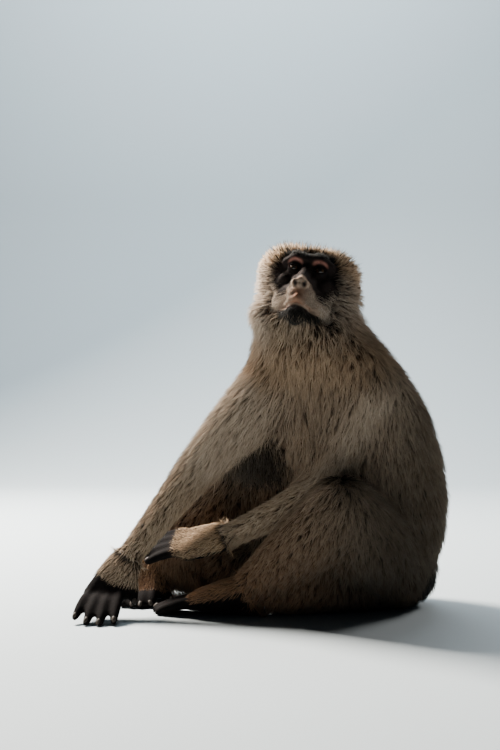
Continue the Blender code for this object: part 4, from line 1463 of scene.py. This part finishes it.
# Painted shade: near black round the eye openings, in the sockets, and in the nostrils
eyeAndNostrilShade = np.maximum(np.exp(-(eyeGap / 1.02) ** 6) * onFace, nostrilShade)
barenessAndShade = np.stack((onFace * 1.0, onPaw, eyeAndNostrilShade, skinMarksAndShade[:, 2]), 1).astype(np.float32)
writeColour(skin.data, "zones", np.clip(zones, 0, 1))
writeColour(skin.data, "barenessAndShade", np.clip(barenessAndShade, 0, 1))
writeColour(skin.data, "marksAndShade", skinMarksAndShade)

skinColours = {
    "under": (0.150, 0.118, 0.090),
    # Near black: the dusky face skin, darkened further as painted shade under the brow
    "face": (0.020, 0.015, 0.014),
    "snout": (0.310, 0.225, 0.170),
    "lips": (0.170, 0.072, 0.040),
    "lids": (0.330, 0.150, 0.118),
    # Painted shade in the eye sockets and the nostrils
    "rim": (0.012, 0.009, 0.009),
    # Near black: dark finger and toe skin, darkened further as painted shade
    "paw": (0.006, 0.005, 0.005),
    "pale": (0.200, 0.150, 0.120),
    "gold": (0.160, 0.100, 0.055),
    "rust": (0.140, 0.065, 0.030),
    # Near black: dark skin, and the painted shade of the dark share
    "dark": (0.008, 0.008, 0.008),
    "underPaw": (0.045, 0.035, 0.029),
}
skinFinish = {
    "roughness": 0.74,
    "specular": 0.01,
    "subsurface": 0.06,
    "subsurfaceDepth": 0.004,
    "poreScale": 620.0,
    "wrinkleScale": 260.0,
    "bump": 0.55,
    "bumpDepth": 0.0010,
}


def makeSkinMaterial():
    material, tree, shader = newMaterial("skinTone")
    lip, lid, nose, hand = channels(tree, "zones")
    face, paw, rim, _ = channels(tree, "barenessAndShade")
    pale, gold, rust, dark = channels(tree, "marksAndShade")
    colours = skinColours
    colour = mixColour(tree, pale, colours["under"], colours["pale"])
    colour = mixColour(tree, gold, colour, colours["gold"])
    colour = mixColour(tree, rust, colour, colours["rust"])
    # The dark share, partly painted shade
    colour = mixColour(tree, dark, colour, colours["dark"])
    colour = mixColour(tree, face, colour, colours["face"])
    colour = mixColour(tree, nose, colour, colours["snout"])
    colour = mixColour(tree, lid, colour, colours["lids"])
    colour = mixColour(tree, lip, colour, colours["lips"])
    colour = mixColour(tree, paw, colour, colours["underPaw"])
    colour = mixColour(tree, hand, colour, colours["paw"])
    # Painted shade round the eyes and in the nostrils, laid over the rest
    colour = mixColour(tree, rim, colour, colours["rim"])
    mottle = colourRamp(tree, noiseAt(tree, 95.0, 5.0), [(0.3, (0.62, 0.60, 0.60)), (0.7, (1.0, 1.0, 1.0))])
    colour = mixColour(tree, 0.8, colour, mixColour(tree, 1.0, colour, mottle, "MULTIPLY"))
    tree.links.new(colour, shader.inputs["Base Color"])
    shader.inputs["Roughness"].default_value = skinFinish["roughness"]
    shader.inputs["Specular IOR Level"].default_value = skinFinish["specular"]
    shader.inputs["Subsurface Weight"].default_value = skinFinish["subsurface"]
    shader.inputs["Subsurface Scale"].default_value = skinFinish["subsurfaceDepth"]
    place = tree.nodes.new("ShaderNodeTexCoord")
    pores = tree.nodes.new("ShaderNodeTexVoronoi")
    pores.inputs["Scale"].default_value = skinFinish["poreScale"]
    tree.links.new(place.outputs["Object"], pores.inputs["Vector"])
    wrinkles = noiseAt(tree, skinFinish["wrinkleScale"], 6.0, 0.65)
    blend = tree.nodes.new("ShaderNodeMath")
    blend.operation = "MULTIPLY_ADD"
    tree.links.new(pores.outputs["Distance"], blend.inputs[0])
    blend.inputs[1].default_value = 0.5
    tree.links.new(wrinkles, blend.inputs[2])
    bump = tree.nodes.new("ShaderNodeBump")
    bump.inputs["Strength"].default_value = skinFinish["bump"]
    bump.inputs["Distance"].default_value = skinFinish["bumpDepth"]
    tree.links.new(blend.outputs[0], bump.inputs["Height"])
    tree.links.new(bump.outputs[0], shader.inputs["Normal"])
    return material


def makeNailMaterial():
    material, tree, shader = newMaterial("nailHorn")
    streaks = colourRamp(tree, noiseAt(tree, 420.0, 4.0), [(0.3, nailSettings["dark"]),
                                                           (0.7, nailSettings["light"])])
    tree.links.new(streaks, shader.inputs["Base Color"])
    shader.inputs["Roughness"].default_value = nailSettings["roughness"]
    shader.inputs["Specular IOR Level"].default_value = nailSettings["specular"]
    return material


nailHorn = makeNailMaterial()
for side in sides:
    makeNails("nailsHand_" + side, "hand_" + side, wrists[side], nailHorn)
    makeNails("nailsFoot_" + side, "foot_" + side, ankles[side], nailHorn)

skin.data.materials.clear()
skin.data.materials.append(makeSkinMaterial())
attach(skin, "root")
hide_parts(*fleshNodes)
bpy.data.objects.remove(outline)


# Eyeballs with a raised cornea, coloured by how far a point is from the gaze

eyeColours = {
    "pupil": 0.0021,
    "iris": 0.0060,
    "cornea": 0.0068,
    "bulge": 0.0009,
}


def makeEyeMaterial():
    material, tree, shader = newMaterial("eyeGloss")
    reader = tree.nodes.new("ShaderNodeAttribute")
    reader.attribute_name = "gaze"
    radius = eyeSettings["radius"]
    pupil = eyeColours["pupil"] / radius
    iris = eyeColours["iris"] / radius
    # The iris and eye white are very dark: brown eyes, darkened further as painted shade under the brow
    rings = colourRamp(tree, reader.outputs["Fac"], [
        (0.0, (0.002, 0.002, 0.002)), (pupil * 0.95, (0.002, 0.002, 0.002)),
        (pupil * 1.12, (0.030, 0.014, 0.006)), (iris * 0.75, (0.055, 0.027, 0.010)),
        (iris * 0.96, (0.025, 0.012, 0.006)), (iris * 1.06, (0.030, 0.021, 0.017)),
        (0.98, (0.060, 0.042, 0.034))])
    streaks = mixColour(tree, noiseAt(tree, 900.0, 3.0), (0.25, 0.2, 0.2), (1.0, 1.0, 1.0))
    tree.links.new(mixColour(tree, 0.35, rings, streaks, "MULTIPLY"), shader.inputs["Base Color"])
    shader.inputs["Roughness"].default_value = 0.2
    shader.inputs["Coat Weight"].default_value = 0.6
    shader.inputs["Coat Roughness"].default_value = 0.03
    return material


eyeGloss = makeEyeMaterial()
for side in sides:
    bm = bmesh.new()
    bmesh.ops.create_uvsphere(bm, u_segments=48, v_segments=40, radius=eyeSettings["radius"])
    away = []
    for vertex in bm.verts:
        radial = math.hypot(vertex.co.x, vertex.co.y)
        if vertex.co.z > 0 and radial < eyeColours["cornea"]:
            vertex.co.z += eyeColours["bulge"] * math.cos(radial / eyeColours["cornea"] * math.pi / 2) ** 1.5
        away.append(radial / eyeSettings["radius"] if vertex.co.z > 0 else 1.0)
    bmesh.ops.transform(bm, matrix=eyeFrame(side), verts=bm.verts)
    eye = fromBmesh("eyeball_" + side, bm)
    eye.data.attributes.new("gaze", "FLOAT", "POINT").data.foreach_set("value", away)
    eye.data.shade_smooth()
    eye.data.materials.append(eyeGloss)
    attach(eye, "root")
    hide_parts("eye_" + side)
